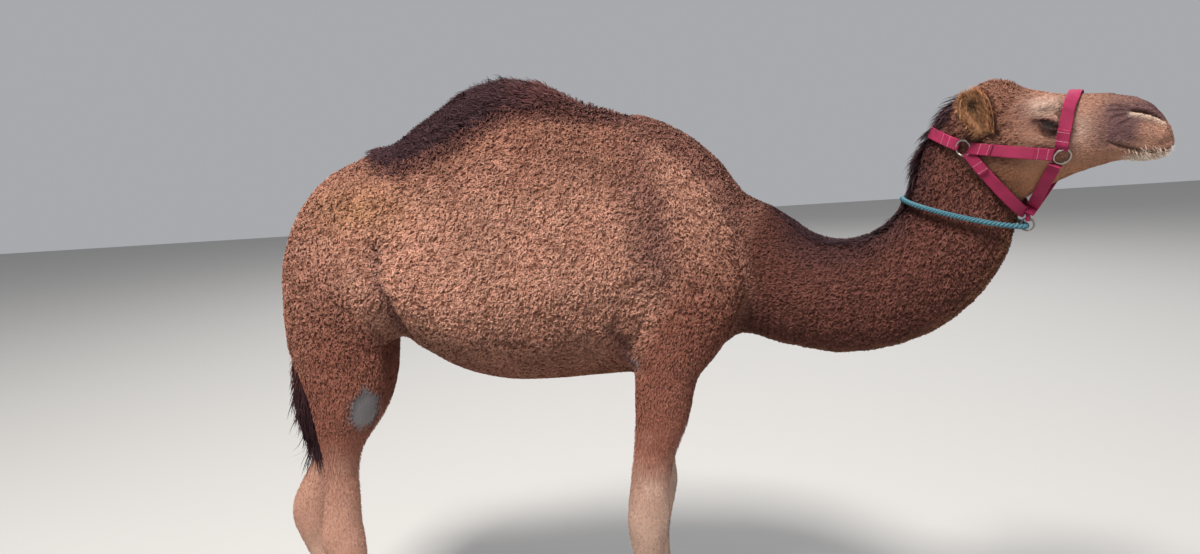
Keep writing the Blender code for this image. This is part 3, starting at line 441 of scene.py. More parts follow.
# %% [markdown]
# A loft keeps its rings' centres, side and up directions and half sizes. The same numbers later
# tell, for any point of the skin, which limb it is on, how far along, and at what angle round.

# %% Lofting
AROUND = 48
TRUNK_RINGS, LEG_RINGS, NECK_RINGS, HEAD_RINGS, TAIL_RINGS = 90, 90, 70, 70, 50


def smooth_rows(rows, count):
    """Catmull-Rom curve through the rows: a cubic between each two that keeps its slope at both."""
    rows = np.asarray(rows, float)
    padded = np.vstack([2 * rows[0] - rows[1], rows, 2 * rows[-1] - rows[-2]])
    places = np.linspace(0, len(rows) - 1, count)
    start = np.minimum(places.astype(int), len(rows) - 2)
    t = (places - start)[:, None]
    a, b, c, d = (padded[start + k] for k in range(4))
    return 0.5 * (2 * b + (c - a) * t + (2 * a - 5 * b + 4 * c - d) * t**2
                  + (3 * b - a - 3 * c + d) * t**3)


def loft(centres, sides, up, down, wide, narrowing, ups=None):
    """Rings of half-ellipses: up (or down) times the cosine, wide times the sine of an angle."""
    count = len(centres)
    ahead = unit(np.gradient(centres, axis=0))
    sides = np.broadcast_to(sides, (count, 3))
    ups = unit(np.cross(ahead, sides)) if ups is None else np.broadcast_to(ups, (count, 3))
    narrowing = np.broadcast_to(narrowing, count)
    angle = circle(AROUND)[None, :]
    height = np.where(np.cos(angle) > 0, up[:, None], down[:, None]) * np.cos(angle)
    out = wide[:, None] * np.sin(angle) * (1 - narrowing[:, None] * np.maximum(np.cos(angle), 0))
    rings = centres[:, None] + height[..., None] * ups[:, None] + out[..., None] * sides[:, None]
    return {"rings": rings, "centres": centres, "ahead": ahead, "sides": sides, "ups": ups,
            "up": up, "down": down, "wide": wide}


def trunk_loft():
    """Upright rings, one behind the other along the trunk."""
    rows = smooth_rows(TRUNK_ROWS, TRUNK_RINGS)
    centres = np.stack([rows[:, 0], 0 * rows[:, 0], rows[:, 1]], axis=1) + TRUNK_PLACE
    return loft(centres, (0.0, 1.0, 0.0), rows[:, 2], rows[:, 3], rows[:, 4], rows[:, 5], UP)


def limb_loft(rows, headings, count):
    """Rings square to a line through the rows; a ring's side is (-sin, cos) of its heading."""
    rows = smooth_rows(np.column_stack([rows, headings]), count)
    turn = np.radians(rows[:, 5])
    sides = np.stack([-np.sin(turn), np.cos(turn), 0 * turn], axis=1)
    return loft(rows[:, :3] + TRUNK_PLACE, sides, rows[:, 3], rows[:, 3], rows[:, 4], 0.0)


def leg_loft(rows, side, step=0.0):
    """Leg on one side, -1 for right; a step moves the foot ahead and leaves the shoulder."""
    rows = np.array(rows)
    rows[:, 0] += step * np.clip((rows[0, 2] - rows[:, 2]) / rows[0, 2], 0, 1)
    rows[:, 1] *= side
    return limb_loft(rows, np.zeros(len(rows)), LEG_RINGS)


def head_loft():
    """Upright rings along the head, a tenth narrower at the top."""
    rows = smooth_rows(HEAD_ROWS, HEAD_RINGS)
    centres = on_head(rows[:, 0], 0 * rows[:, 0], rows[:, 1])
    return loft(centres, -HEAD_RIGHT, rows[:, 2], rows[:, 3], rows[:, 4], 0.10, UP)


LOFTS = {
    "trunk": trunk_loft(),
    "neck": limb_loft(np.array(NECK_ROWS)[:, :5], np.array(NECK_ROWS)[:, 5], NECK_RINGS),
    "head": head_loft(),
    "foreleg_right": leg_loft(FORELEG_ROWS, -1),
    "foreleg_left": leg_loft(FORELEG_ROWS, 1, FOREFOOT_STEP),
    "hindleg_right": leg_loft(RIGHT_HINDLEG_ROWS, -1),
    "hindleg_left": leg_loft(LEFT_HINDLEG_ROWS, 1),
    "tail": limb_loft(TAIL_ROWS, np.zeros(len(TAIL_ROWS)), TAIL_RINGS),
}
print("lofts:", ", ".join(LOFTS))

# %% [markdown]
# Feet are broad pads and not the end of a leg's loft, and bones under the skin are ellipsoids.

# %% Pads and lumps
def foot_pad(x, y):
    """Broad pad: an oval with a cleft in front, narrower towards the top."""
    angle = np.linspace(-np.pi, np.pi, AROUND, endpoint=False)
    long, wide, high = PAD_SIZE
    along = 0.5 * long * np.cos(angle) * (1 - 0.10 * bump(angle, 0, 0.22))
    across = 0.5 * wide * np.sin(angle) * (1 + 0.10 * np.cos(angle))
    rings = [np.stack([x + along * grow - 0.02 * level, y + across * grow,
                       np.full(AROUND, level * high)], axis=1) for level, grow in PAD_PROFILE]
    return np.array(rings) + TRUNK_PLACE


def lump(place, radii, turn=0.0, rows=12):
    """Ellipsoid: rings between its poles, each a circle scaled by the sine of its latitude."""
    latitude = np.linspace(0.02, np.pi - 0.02, rows)[:, None]
    longitude = circle(24)[None, :]
    local = np.stack([np.sin(latitude) * np.cos(longitude), np.sin(latitude) * np.sin(longitude),
                      np.cos(latitude) + 0 * longitude], axis=-1) * radii
    return turned(local, turn)[::-1] + place


print("a pad has", len(PAD_PROFILE), "rings")

# %% [markdown]
# One skin covers the whole animal. Real skin has no seams, so the lofts, the hip bones, brows,
# cheeks and pads are joined as overlapping closed shells, and a voxel remesh keeps only the outside.
# The head then gets smaller faces than the body, because its folds are finer.

# %% Fuse the skin
SKIN_VOXEL = 0.0122
BODY_LUMPS = [((-0.520, 0.142, 1.310), (0.075, 0.042, 0.055)),     # hip bone
              ((0.105, 0.160, 0.890), (0.045, 0.040, 0.050))]      # point of the elbow
HEAD_LUMPS = [((0.172, 0.066, 1.452), (0.036, 0.022, 0.026)),      # brow
              ((0.175, 0.060, 1.385), (0.050, 0.022, 0.026))]      # cheek bone
CHEST_PAD = ((0.135, 0.0, 0.845), (0.085, 0.075, 0.050))


def flesh_shells():
    """Points and faces of every loft, pad and lump, numbered on from one another."""
    grids = [one["rings"] for one in LOFTS.values()]
    grids += [foot_pad(x, y) for x, y in FEET.values()]
    grids.append(lump(CHEST_PAD[0] + TRUNK_PLACE, CHEST_PAD[1]))
    for side in (-1, 1):
        for (x, out, z), radii in BODY_LUMPS:
            grids.append(lump(TRUNK_PLACE + (x, side * out, z), radii))
        for (along, out, height), radii in HEAD_LUMPS:
            grids.append(lump(on_head(along, side * out, height), radii, HEAD_TURN))
    return joined([closed_tube(grid) for grid in grids])


def modified(piece, *modifiers):
    """Run modifiers on a piece and keep the result as its own mesh."""
    for kind, settings in modifiers:
        step = piece.modifiers.new(kind.title(), kind)
        for name, value in settings.items():
            setattr(step, name, value)
    bpy.context.view_layer.update()
    graph = bpy.context.evaluated_depsgraph_get()
    mesh = bpy.data.meshes.new_from_object(piece.evaluated_get(graph))
    piece.modifiers.clear()
    piece.data = mesh


skin = make_piece("skin", *flesh_shells())
modified(skin, ("REMESH", {"mode": "VOXEL", "voxel_size": SKIN_VOXEL}),
         ("SMOOTH", {"factor": 0.5, "iterations": 12}))
print("fused skin:", len(skin.data.polygons), "faces")

# %% [markdown]
# A camel's face is thin skin over bone and strong lips. The cheek muscle, brow and temple are broad
# soft forms; the mouth, nostrils and wrinkles are grooves with rims. Broad forms are bell-shaped
# bumps about a place, grooves are the same about a line, and both push the skin along its normals.

# %% Forms and folds of the head
EYE_PLACE = (0.177, 0.061, 1.418)
EYE_RADIUS = 0.0212
EYE_SLOPE = math.radians(-24.0)         # the eye's long axis falls towards the nose
EYE_HALF_LENGTH = 0.0185
ARC_RADIUS = 0.024                      # ball on which lengths over the lids are measured
UPPER_LID, LOWER_LID = 0.0070, 0.0062   # how far each lid's edge stands from that axis
# place (along, out, height), reach, rise in metres
HEAD_FORMS = [
    ((0.080, 0.085, 1.340), 0.042, 0.0045), ((0.118, 0.070, 1.290), 0.030, 0.0020),
    ((0.114, 0.082, 1.452), 0.024, -0.0070), ((0.176, 0.066, 1.456), 0.021, 0.0090),
    ((0.148, 0.070, 1.455), 0.018, 0.0055), ((0.210, 0.058, 1.450), 0.014, -0.0045),
    ((0.200, 0.070, 1.372), 0.018, 0.0030), ((0.170, 0.078, 1.352), 0.022, -0.0040),
    ((0.235, 0.055, 1.395), 0.022, -0.0030), ((0.260, 0.035, 1.455), 0.020, -0.0020),
    ((0.340, 0.045, 1.385), 0.022, 0.0040), ((0.372, 0.026, 1.388), 0.014, 0.0030),
    ((0.345, 0.028, 1.345), 0.016, 0.0020), ((0.300, 0.000, 1.480), 0.018, -0.0010),
    ((0.350, 0.018, 1.446), 0.016, 0.0030), ((0.062, 0.000, 1.515), 0.030, 0.0020),
]
MOUTH = [(0.284, 0.047, 1.374), (0.304, 0.047, 1.364), (0.335, 0.044, 1.353),
         (0.364, 0.036, 1.347), (0.384, 0.018, 1.355), (0.389, 0.000, 1.360)]
NOSTRIL = [(0.318, 0.038, 1.437), (0.334, 0.037, 1.434), (0.354, 0.031, 1.426),
           (0.373, 0.021, 1.414)]


def moved(line, along=0.0, out=0.0, height=0.0):
    """The same line shifted along the head, out and up."""
    return [(a + along, b + out, c + height) for a, b, c in line]


# line, half width, rise; the ends fade out
HEAD_FOLDS = [
    (MOUTH, 0.0030, -0.0060), (moved(MOUTH, 0.003, 0.002, 0.0085), 0.0065, 0.0030),
    (moved(MOUTH, -0.004, 0.000, -0.0085), 0.0060, 0.0016),
    (NOSTRIL, 0.0030, -0.0110), (moved(NOSTRIL, 0.001, 0.003, -0.0062), 0.0036, 0.0034),
    (moved(NOSTRIL, -0.003, -0.003, 0.0085), 0.0062, 0.0036),
    ([(0.314, 0.038, 1.443), (0.300, 0.040, 1.451), (0.282, 0.041, 1.454)], 0.0032, -0.0030),
    ([(0.314, 0.040, 1.437), (0.298, 0.043, 1.441), (0.278, 0.045, 1.440)], 0.0032, -0.0034),
    ([(0.316, 0.042, 1.430), (0.300, 0.045, 1.429), (0.284, 0.048, 1.424)], 0.0032, -0.0030),
    ([(0.322, 0.044, 1.424), (0.310, 0.047, 1.416), (0.298, 0.050, 1.410)], 0.0035, -0.0026),
    ([(0.400, 0.000, 1.366), (0.392, 0.000, 1.392), (0.378, 0.000, 1.416)], 0.0030, -0.0034),
    ([(0.292, 0.050, 1.390), (0.282, 0.051, 1.376), (0.286, 0.048, 1.358)], 0.0030, -0.0016),
    ([(0.300, 0.050, 1.394), (0.292, 0.051, 1.384)], 0.0030, -0.0012),
    ([(0.148, 0.082, 1.404), (0.170, 0.086, 1.393), (0.198, 0.080, 1.386)], 0.0026, -0.0014),
    ([(0.150, 0.082, 1.396), (0.172, 0.085, 1.383), (0.196, 0.079, 1.377)], 0.0026, -0.0010),
    ([(0.136, 0.080, 1.436), (0.120, 0.085, 1.432)], 0.0026, -0.0014),
    ([(0.136, 0.081, 1.428), (0.122, 0.086, 1.420)], 0.0026, -0.0012),
    ([(0.070, 0.078, 1.320), (0.088, 0.070, 1.270), (0.110, 0.050, 1.245)], 0.0120, -0.0035),
    ([(0.130, 0.074, 1.392), (0.180, 0.078, 1.384), (0.235, 0.062, 1.380)], 0.0080, 0.0022),
]


def reach_of(places, line):
    """Distance from each place to a line of straight pieces, and the share of its length there."""
    line = np.asarray(line, float)
    best = np.full(len(places), np.inf)
    share = np.zeros(len(places))
    for number, (start, end) in enumerate(zip(line[:-1], line[1:])):
        step = end - start
        t = np.clip((places - start) @ step / (step @ step), 0, 1)
        distance = np.linalg.norm(places - start - t[:, None] * step, axis=1)
        nearer = distance < best
        best = np.where(nearer, distance, best)
        share = np.where(nearer, (number + t) / (len(line) - 1), share)
    return best, share


def fine_parts(points):
    """The eyes, nostrils and mouth, which get the smallest faces."""
    places = right_half(points)
    near_eye = distance_from(EYE_PLACE, places) < 0.040
    return near_eye | (reach_of(places, NOSTRIL)[0] < 0.016) | (reach_of(places, MOUTH)[0] < 0.014)


print(len(HEAD_FORMS), "forms and", len(HEAD_FOLDS), "folds")

# %% [markdown]
# A groove 3 mm wide needs faces smaller than that, and the whole animal can't have them. So only the
# edges on the head are halved, twice, and those round the eyes, nostrils and mouth once more.

# %% Finer faces on the head
def refine(piece, chosen, passes):
    """Halve every edge whose two ends are chosen, make triangles, and ease the new points."""
    work = bmesh.new()
    work.from_mesh(piece.data)
    points = np.array([vertex.co for vertex in work.verts])
    near = chosen(points)
    work.verts.ensure_lookup_table()
    edges = [edge for edge in work.edges if near[edge.verts[0].index] and near[edge.verts[1].index]]
    bmesh.ops.subdivide_edges(work, edges=edges, cuts=1, use_grid_fill=True)
    near_again = chosen(np.array([vertex.co for vertex in work.verts]))
    easy = [vertex for vertex, is_near in zip(work.verts, near_again) if is_near]
    for _ in range(passes):
        bmesh.ops.smooth_vert(work, verts=easy, factor=0.5, use_axis_x=True, use_axis_y=True,
                              use_axis_z=True)
    work.to_mesh(piece.data)
    work.free()


def whole_head(points):
    """The head and the throat: ahead of the nape, above two levels and above a slanting plane."""
    along, _, height = head_parts(points)
    return (along > -0.09) & (height > 1.24 - 0.10 * (along > 0.14)) & (along + 2 * height > 2.60)


refine(skin, whole_head, 2)
refine(skin, whole_head, 1)
refine(skin, fine_parts, 1)
print("skin with a finer head:", len(skin.data.polygons), "faces")

# %% [markdown]
# Each point of the skin has to know which limb it is on, how far along it and at what angle round.
# Hair lies back along the trunk, down the legs and away from the nose, and its length differs from
# limb to limb. These are worked out limb by limb, then averaged with their neighbours on the mesh,
# so that one kind of coat passes softly into the next.

# %% Where each point is
NAMES = list(LOFTS)


def place_on(one, points):
    """Nearest ring, angle round it, distance in ring radii, and place between it and the next."""
    centres = one["centres"]
    square = (points**2).sum(1)[:, None] - 2 * points @ centres.T + (centres**2).sum(1)
    ring = square.argmin(axis=1)
    away = points - centres[ring]
    rise, out, on = ((away * one[key][ring]).sum(axis=1) for key in ("ups", "sides", "ahead"))
    rise = rise / np.where(rise > 0, one["up"][ring], one["down"][ring])
    out = out / one["wide"][ring]
    distance = np.sqrt(rise**2 + out**2 + (on / one["wide"][ring]) ** 2)
    step = np.linalg.norm(np.gradient(centres, axis=0), axis=1)[ring]
    return ring, np.arctan2(out, rise), distance, ring + np.clip(on / step, -0.6, 0.6)


def neighbours_mean(values, edges, passes):
    """Average of each point with its neighbours, repeated: half its own value, half their mean."""
    values = np.array(values, float)
    flat = values.reshape(len(values), -1)
    ends = np.concatenate([edges[:, 0], edges[:, 1]])
    others = np.concatenate([edges[:, 1], edges[:, 0]])
    share = 0.5 / np.maximum(np.bincount(ends, minlength=len(flat)), 1)
    for _ in range(passes):
        for column in flat.T:
            total = np.bincount(ends, weights=column[others], minlength=len(flat))
            column[:] = 0.5 * column + share * total
    return flat.reshape(values.shape)


points = coordinates(skin.data)
edges = read_rows(skin.data.edges, "vertices", 2, np.int32)
found = [place_on(LOFTS[name], points) for name in NAMES]
limb = np.argmin([entry[2] for entry in found], axis=0)
ring = np.choose(limb, [entry[0] for entry in found])
angle = np.choose(limb, [entry[1] for entry in found])
rings_in = np.array([len(LOFTS[name]["centres"]) - 1 for name in NAMES])
share_along = np.choose(limb, [entry[3] for entry in found]) / rings_in[limb]
is_limb = {name: limb == number for number, name in enumerate(NAMES)}
print({name: int(chosen.sum()) for name, chosen in is_limb.items()})

# %% [markdown]
# A wandering pattern is needed often: for curls, for uneven colour, for folds that are not straight.
# A lattice of random numbers, blended between its corners, gives one value for any place.

# %% Noise
def hashed(cell, seed):
    """A number from 0 to 1 for each lattice corner, from a sine of its three steps."""
    value = np.sin(cell @ np.array([127.1, 311.7, 74.7]) + seed * 53.3) * 43758.5453
    return value - np.floor(value)


def noise(points, size, seed=0):
    """Values from -1 to 1 that change over about the given size: corners blended on an S curve."""
    scaled = np.asarray(points) / size
    cell = np.floor(scaled)
    part = scaled - cell
    part = part * part * (3 - 2 * part)
    total = 0.0
    for x in (0, 1):
        for y in (0, 1):
            for z in (0, 1):
                weight = ((part[:, 0] if x else 1 - part[:, 0]) * (part[:, 1] if y else 1 - part[:, 1])
                          * (part[:, 2] if z else 1 - part[:, 2]))
                total = total + weight * hashed(cell + (x, y, z), seed)
    return 2 * total - 1


def curls(points, size, seed=0):
    """Ridges between winding clefts: 0 where a noise crosses zero, 1 away from there."""
    value = noise(points, size, seed) + 0.5 * noise(points, size * 0.47, seed + 7)
    return np.clip(np.abs(value) * 2.6, 0, 1) ** 0.9


# %% [markdown]
# The coat's measures are formulas of place on the limb. The hump's dark crest has a drawn lower
# edge, a line of (x, height), with a noisy border.

# %% Regions of the coat
x, y, z = (points - TRUNK_PLACE).T
along, out, height = head_parts(points)
out = np.abs(out)
CREST_LINE = np.array([(-0.590, 1.430), (-0.560, 1.425), (-0.474, 1.402), (-0.364, 1.448),
                       (-0.294, 1.491), (-0.197, 1.532), (-0.069, 1.529), (0.005, 1.514),
                       (0.100, 1.510), (0.170, 1.530)])


def crest_share(x, z, ragged=0.0):
    """1 above the lower edge of the hump's dark crest, 0 below it."""
    edge = np.interp(x, *CREST_LINE.T) + ragged
    ends = smoothstep(-0.575, -0.520, x) * falling(0.08, 0.18, x)
    return smoothstep(-0.014, 0.016, z - edge) * ends


crest = crest_share(x, z, 0.008 * noise(points, 0.03, 3)) * is_limb["trunk"]
on_leg = sum(is_limb[name] for name in NAMES if "leg" in name)
face = smoothstep(0.08, 0.15, along) * is_limb["head"]
muzzle = smoothstep(0.22, 0.29, along) * is_limb["head"]
belly = falling(0.86, 0.96, z) * is_limb["trunk"]
shank = falling(0.50, 0.66, z) * on_leg
print("crest on", int((crest > 0.5).sum()), "points")

# %% Lie of the hair
lie = np.zeros_like(points)
for number, name in enumerate(NAMES):
    here = limb == number
    ahead = LOFTS[name]["ahead"][ring[here]]
    lie[here] = ahead if "leg" in name or name == "tail" else -ahead
trunk_here = is_limb["trunk"]
side_drop = smoothstep(0.15, 0.9, np.abs(np.sin(angle))) * (z > 0.9)
lie[trunk_here] = np.stack([0 * x - 0.85, 0 * x, -0.75 * side_drop
                            - 0.9 * falling(-0.78, -0.62, x)], axis=1)[trunk_here]
lie[is_limb["neck"]] += (0, 0, -0.45)
lie[is_limb["head"]] += (0, 0, -0.30)
lie += crest[:, None] * (-0.3, 0, 0.6)
print("lie set for", len(lie), "points")

# %% Length, curl and depth of the coat
TRUNK_WOOL, NECK_WOOL, LEG_HAIR, CROWN_WOOL, SHORTEST = 0.0135, 0.0120, 0.013, 0.016, 0.0042
length = (TRUNK_WOOL * is_limb["trunk"] + NECK_WOOL * is_limb["neck"] + LEG_HAIR * on_leg
          + (CROWN_WOOL - 0.0085 * face - 0.0030 * muzzle) * is_limb["head"])
length = length - 0.004 * belly - 0.0040 * smoothstep(0.02, 0.12, 0.86 - z) * on_leg - 0.003 * shank
low_head = falling(1.31, 1.40, height + 0.25 * np.maximum(along - 0.13, 0)) * is_limb["head"]
length = np.maximum(length - 0.006 * low_head, SHORTEST)
curl = (is_limb["trunk"] * (1 - 0.8 * belly) + 0.75 * is_limb["neck"]
        + is_limb["head"] * falling(0.09, 0.15, along) * (1 - low_head)
        + on_leg * smoothstep(0.78, 1.08, z))
depth = (0.80 - 0.30 * face - 0.25 * shank) * length + 0.022 * crest + 0.008 * is_limb["tail"]
length = length + is_limb["tail"] * (0.014 + 0.012 * (z < 0.92))

mixed = neighbours_mean(np.column_stack([lie, length, curl, depth]), edges, 14)
lie, length, curl, depth = mixed[:, :3], mixed[:, 3], mixed[:, 4], mixed[:, 5]
print("coat depth", depth.min().round(4), "to", depth.max().round(4), "m")

# %% [markdown]
# The body has few folds: before the thigh, behind the shoulder, at the elbow and round the neck's
# root. They are lines seen from the side, so one line serves both flanks. Wool also lumps the
# outline a little, which is a low noise in two sizes wherever the coat curls.

# %% Folds of the body
# line (x, height), half width, rise: they show on both sides, away from the middle
BODY_FOLDS = [
    ([(-0.550, 1.215), (-0.535, 1.114), (-0.512, 1.030), (-0.505, 0.975)], 0.018, -0.022),
    ([(-0.610, 1.200), (-0.595, 1.100), (-0.575, 1.000)], 0.036, 0.006),
    ([(-0.690, 1.240), (-0.710, 1.120), (-0.700, 1.000)], 0.030, -0.004),
    ([(0.005, 1.350), (0.040, 1.220), (0.062, 1.080), (0.055, 0.985)], 0.024, -0.008),
    ([(0.115, 1.300), (0.140, 1.160), (0.160, 1.030)], 0.045, 0.006),
    ([(0.025, 0.985), (0.062, 0.925), (0.085, 0.870)], 0.016, -0.012),
    ([(0.235, 1.300), (0.262, 1.180), (0.250, 1.060)], 0.022, -0.006),
]
NECK_FOLDS = [([(0.418, 1.170), (0.430, 1.050), (0.420, 0.930)], 0.011, -0.005),
              ([(0.456, 1.160), (0.468, 1.040), (0.456, 0.910)], 0.011, -0.005),
              ([(0.497, 1.140), (0.507, 1.030), (0.497, 0.900)], 0.011, -0.004)]


def reach_beside(line):
    """Distance from each point to a line drawn on the animal's side, whatever its breadth there."""
    flat = np.stack([x + 0.010 * noise(points, 0.06, 21), z], axis=1)
    return reach_of(flat, line)[0]


rise = np.zeros(len(points))
for line, spread, amount in BODY_FOLDS:
    rise += amount * bump(reach_beside(line), 0, spread) * smoothstep(0.07, 0.14, np.abs(y))
for line, spread, amount in NECK_FOLDS:
    rise += amount * bump(reach_beside(line), 0, spread) * is_limb["neck"]
fleece = np.clip(curl, 0, 1) * (0.0024 * noise(points, 0.060, 31) + 0.0020 * noise(points, 0.034, 32))
points = points + normals_of(skin.data) * (rise + fleece)[:, None]
print(len(BODY_FOLDS) + len(NECK_FOLDS), "body folds, deepest", rise.min().round(4))

# %% [markdown]
# The solid model reaches to the tips of the coat. Drawn in by the coat's own depth, the skin leaves
# just that much room for the hair, and the finished outline comes back to the solid's.

# %% Draw the skin in by the depth of the coat
points = points - normals_of(skin.data) * depth[:, None]
points[:, 2] = np.where(points[:, 2] < 0.006, 0.0, points[:, 2])
set_coordinates(skin.data, points)
print("skin", np.round(points.max(axis=0) - points.min(axis=0), 3), "m")

# %% [markdown]
# The lids are an almond on a ball. Measured along and across the eye's slanting axis, the almond's
# edge is a power of a circle's, and a point's gap to it says whether it is on the lid or between.

# %% Lids
def eye_parts(places):
    """Distance from the eye's centre, how far the place faces outward, and two arc lengths.

    The direction from the centre times the arc radius gives them: one along the eye's long axis,
    one across it.
    """
    away = places - np.array(EYE_PLACE)
    distance = np.linalg.norm(away, axis=1)
    ahead, outward, rise = (away / np.maximum(distance, 1e-6)[:, None]).T
    long = ARC_RADIUS * (ahead * math.cos(EYE_SLOPE) + rise * math.sin(EYE_SLOPE))
    across = ARC_RADIUS * (-ahead * math.sin(EYE_SLOPE) + rise * math.cos(EYE_SLOPE))
    return distance, outward, long, across


def lid_gap(long, across):
    """Distance outside the almond between the lids: minus inside it, plus on the lids."""
    round_share = np.clip(1 - (long / EYE_HALF_LENGTH) ** 2, 0, 1) ** 0.75
    beyond = np.maximum(np.abs(long) - EYE_HALF_LENGTH, 0)
    return np.abs(across) - np.where(across > 0, UPPER_LID, LOWER_LID) * round_share + beyond


print("lids open", round(1000 * (UPPER_LID + LOWER_LID), 1), "mm")


# %% Shape the head
def on_skin(line, tree):
    """The line with more points, each moved to the nearest place of the skin's right side."""
    line = np.array(line, float)
    shares = np.linspace(0, len(line) - 1, 4 * len(line) - 3)
    dense = np.stack([np.interp(shares, np.arange(len(line)), column) for column in line.T], axis=1)
    found = [tree.find_nearest(Vector(place))[0] for place in on_head(*dense.T)]
    return np.stack(head_parts(np.array(found)), axis=1)


def sculpt_head(points, normals, folds):
    """Push the head's skin along its normals by its forms and folds, then shape the lids.

    Near the eye the skin is drawn to a set distance from the eye's centre: it steps out over the
    lids' edges, has a fine crease above them, and dips behind the ball between them.
    """
    side = np.where(head_parts(points)[1] < 0, -1.0, 1.0)
    places = right_half(points)
    rise = np.zeros(len(points))
    for place, spread, amount in HEAD_FORMS:
        rise += amount * bump(distance_from(place, places), 0, spread)
    for line, spread, amount in folds:
        distance, share = reach_of(places, line)
        rise += amount * bump(distance, 0, spread) * (0.35 + 0.65 * np.sin(np.pi * share) ** 0.5)
    places = right_half(points + normals * rise[:, None])
    distance, outward, long, across = eye_parts(places)
    gap = lid_gap(long, across)
    lid = 0.0222 + 0.0026 * smoothstep(0, 0.0030, gap) - 0.0013 * bump(gap, 0.0066, 0.0012)
    lid = lid + 0.0030 * smoothstep(0.004, 0.012, gap) * (across > 0)
    lid = lid - 0.0060 * falling(-0.0024, 0, gap)
    target = distance + (lid - distance) * smoothstep(0.42, 0.72, outward)
    target = np.where(distance < 0.045, target, distance)
    away = places - np.array(EYE_PLACE)
    along, out, height = (EYE_PLACE + away * (target / np.maximum(distance, 1e-6))[:, None]).T
    return on_head(along, out * side, height)


tree = BVHTree.FromObject(skin, bpy.context.evaluated_depsgraph_get())
SKIN_FOLDS = [(on_skin(line, tree), spread, amount) for line, spread, amount in HEAD_FOLDS]
MOUTH, NOSTRIL, NOSTRIL_RIM = SKIN_FOLDS[0][0], SKIN_FOLDS[3][0], SKIN_FOLDS[4][0]
chosen = whole_head(points)
points[chosen] = sculpt_head(points[chosen], normals_of(skin.data)[chosen], SKIN_FOLDS)
set_coordinates(skin.data, points)
print("head shaped:", int(chosen.sum()), "points")

# %% [markdown]
# Materials are written as sums: a small class wraps a node's output, so that arithmetic on it adds
# Math nodes. Colours are mixed by other nodes, because a Math node would turn them grey.

# %% Writing materials
class Amount:
    """One number that varies over a surface. Arithmetic on it adds Math nodes."""

    def __init__(self, finish, socket):
        self.finish, self.socket = finish, socket

    def _maths(self, operation, first, second):
        return self.finish.node("Math", {"operation": operation}, {0: first, 1: second})

    def __add__(self, other):
        return self._maths("ADD", self, other)

    def __mul__(self, other):
        return self._maths("MULTIPLY", self, other)

    def __pow__(self, other):
        return self._maths("POWER", self, other)

    __radd__, __rmul__ = __add__, __mul__

    def sibling(self, number):
        """Another output of the node that this one comes from."""
        return Amount(self.finish, self.socket.node.outputs[number])


class Finish:
    """A material under construction: one method adds any node, sets it and links it."""

    def __init__(self, name, **settings):
        """A new material whose surface starts from the given plain settings."""
        self.material = bpy.data.materials.new(name)
        self.material.use_nodes = True
        self.tree = self.material.node_tree
        self.shader = self.tree.nodes["Principled BSDF"]
        for socket, value in settings.items():
            self.set(self.shader.inputs[socket.replace("_", " ")], value)

    def set(self, socket, value):
        """Link an amount to a socket, or write a plain value or a colour into it."""
        if isinstance(value, Amount):
            self.tree.links.new(value.socket, socket)
        else:
            socket.default_value = (*value, 1.0) if (
                isinstance(value, tuple) and len(value) == 3 and socket.type == "RGBA") else value

    def node(self, kind, settings, inputs, output=0):
        """Any node, with its settings first and then the values or links of its sockets."""
        node = self.tree.nodes.new("ShaderNode" + kind)
        for name, value in settings.items():
            setattr(node, name, value)
        for name, value in inputs.items():
            self.set(node.inputs[name], value)
        return Amount(self, node.outputs[output])

    def attribute(self, name):
        """Colour that was stored at each vertex under a name."""
        return self.node("Attribute", {"attribute_name": name}, {}, "Color")

    def mix(self, low, high, factor):
        """Colour between two colours."""
        return self.node("Mix", {"data_type": "RGBA"}, {0: factor, 6: low, 7: high}, 2)

    def scaled(self, colour, factor):
        """A colour made lighter or darker by a factor."""
        return self.node("VectorMath", {"operation": "SCALE"}, {0: colour, 3: factor})

    def noise(self, size, detail):
        """A cloudy pattern whose patches have about the given size in metres."""
        where = self.node("TexCoord", {}, {}, "Object")
        return self.node("TexNoise", {}, {"Vector": where, "Scale": 1.0 / size, "Detail": detail})

    def colour(self, value):
        """What the surface's own colour is."""
        self.set(self.shader.inputs["Base Color"], value)

    def bump(self, height, depth):
        """Small relief of the given depth in metres."""
        lifted = self.node("Bump", {}, {"Height": height, "Distance": depth, "Strength": 1.0})
        self.set(self.shader.inputs["Normal"], lifted)


print("materials can be written")

# %% [markdown]
# Hair hides its root from the light, so depth in the coat is mostly a matter of colour.

# %% Finish of skin and hair
def hair_finish(name, rough_skin):
    """Hair is darker and redder at its root, as painted shade: the shade times itself, and 0.38 of
    that.

    The attribute strand holds the share of the way to the tip, each tuft's own luck, which makes
    it lighter or darker, and how far the tuft stands on a ridge of the wool rather than in a cleft,
    where it takes painted shade.
    """
    finish = Finish(name, Roughness=0.72, Specular_IOR_Level=0.14)
    shade = finish.attribute("shade")
    tip = finish.node("SeparateColor", {}, {0: finish.attribute("strand")})
    luck, ridge = tip.sibling(1), tip.sibling(2)
    # painted shade: each root is darker, and tufts down in the clefts between ridges are darker
    root = finish.scaled(finish.node("VectorMath", {"operation": "MULTIPLY"}, {0: shade, 1: shade}),
                         0.38)
    colour = finish.mix(root, shade, tip ** 0.6 * (0.10 + 0.90 * ridge))
    light = 0.84 + 0.50 * luck
    if rough_skin:
        grain = finish.noise(0.0035, 3.0)
        light = light * (0.82 + 0.36 * grain)
        finish.bump(grain, 0.0016)
    finish.colour(finish.scaled(colour, light))
    return finish.material


hair_material = hair_finish("camel hair", False)
skin_material = hair_finish("skin under the hair", True)
print("two finishes for the coat")
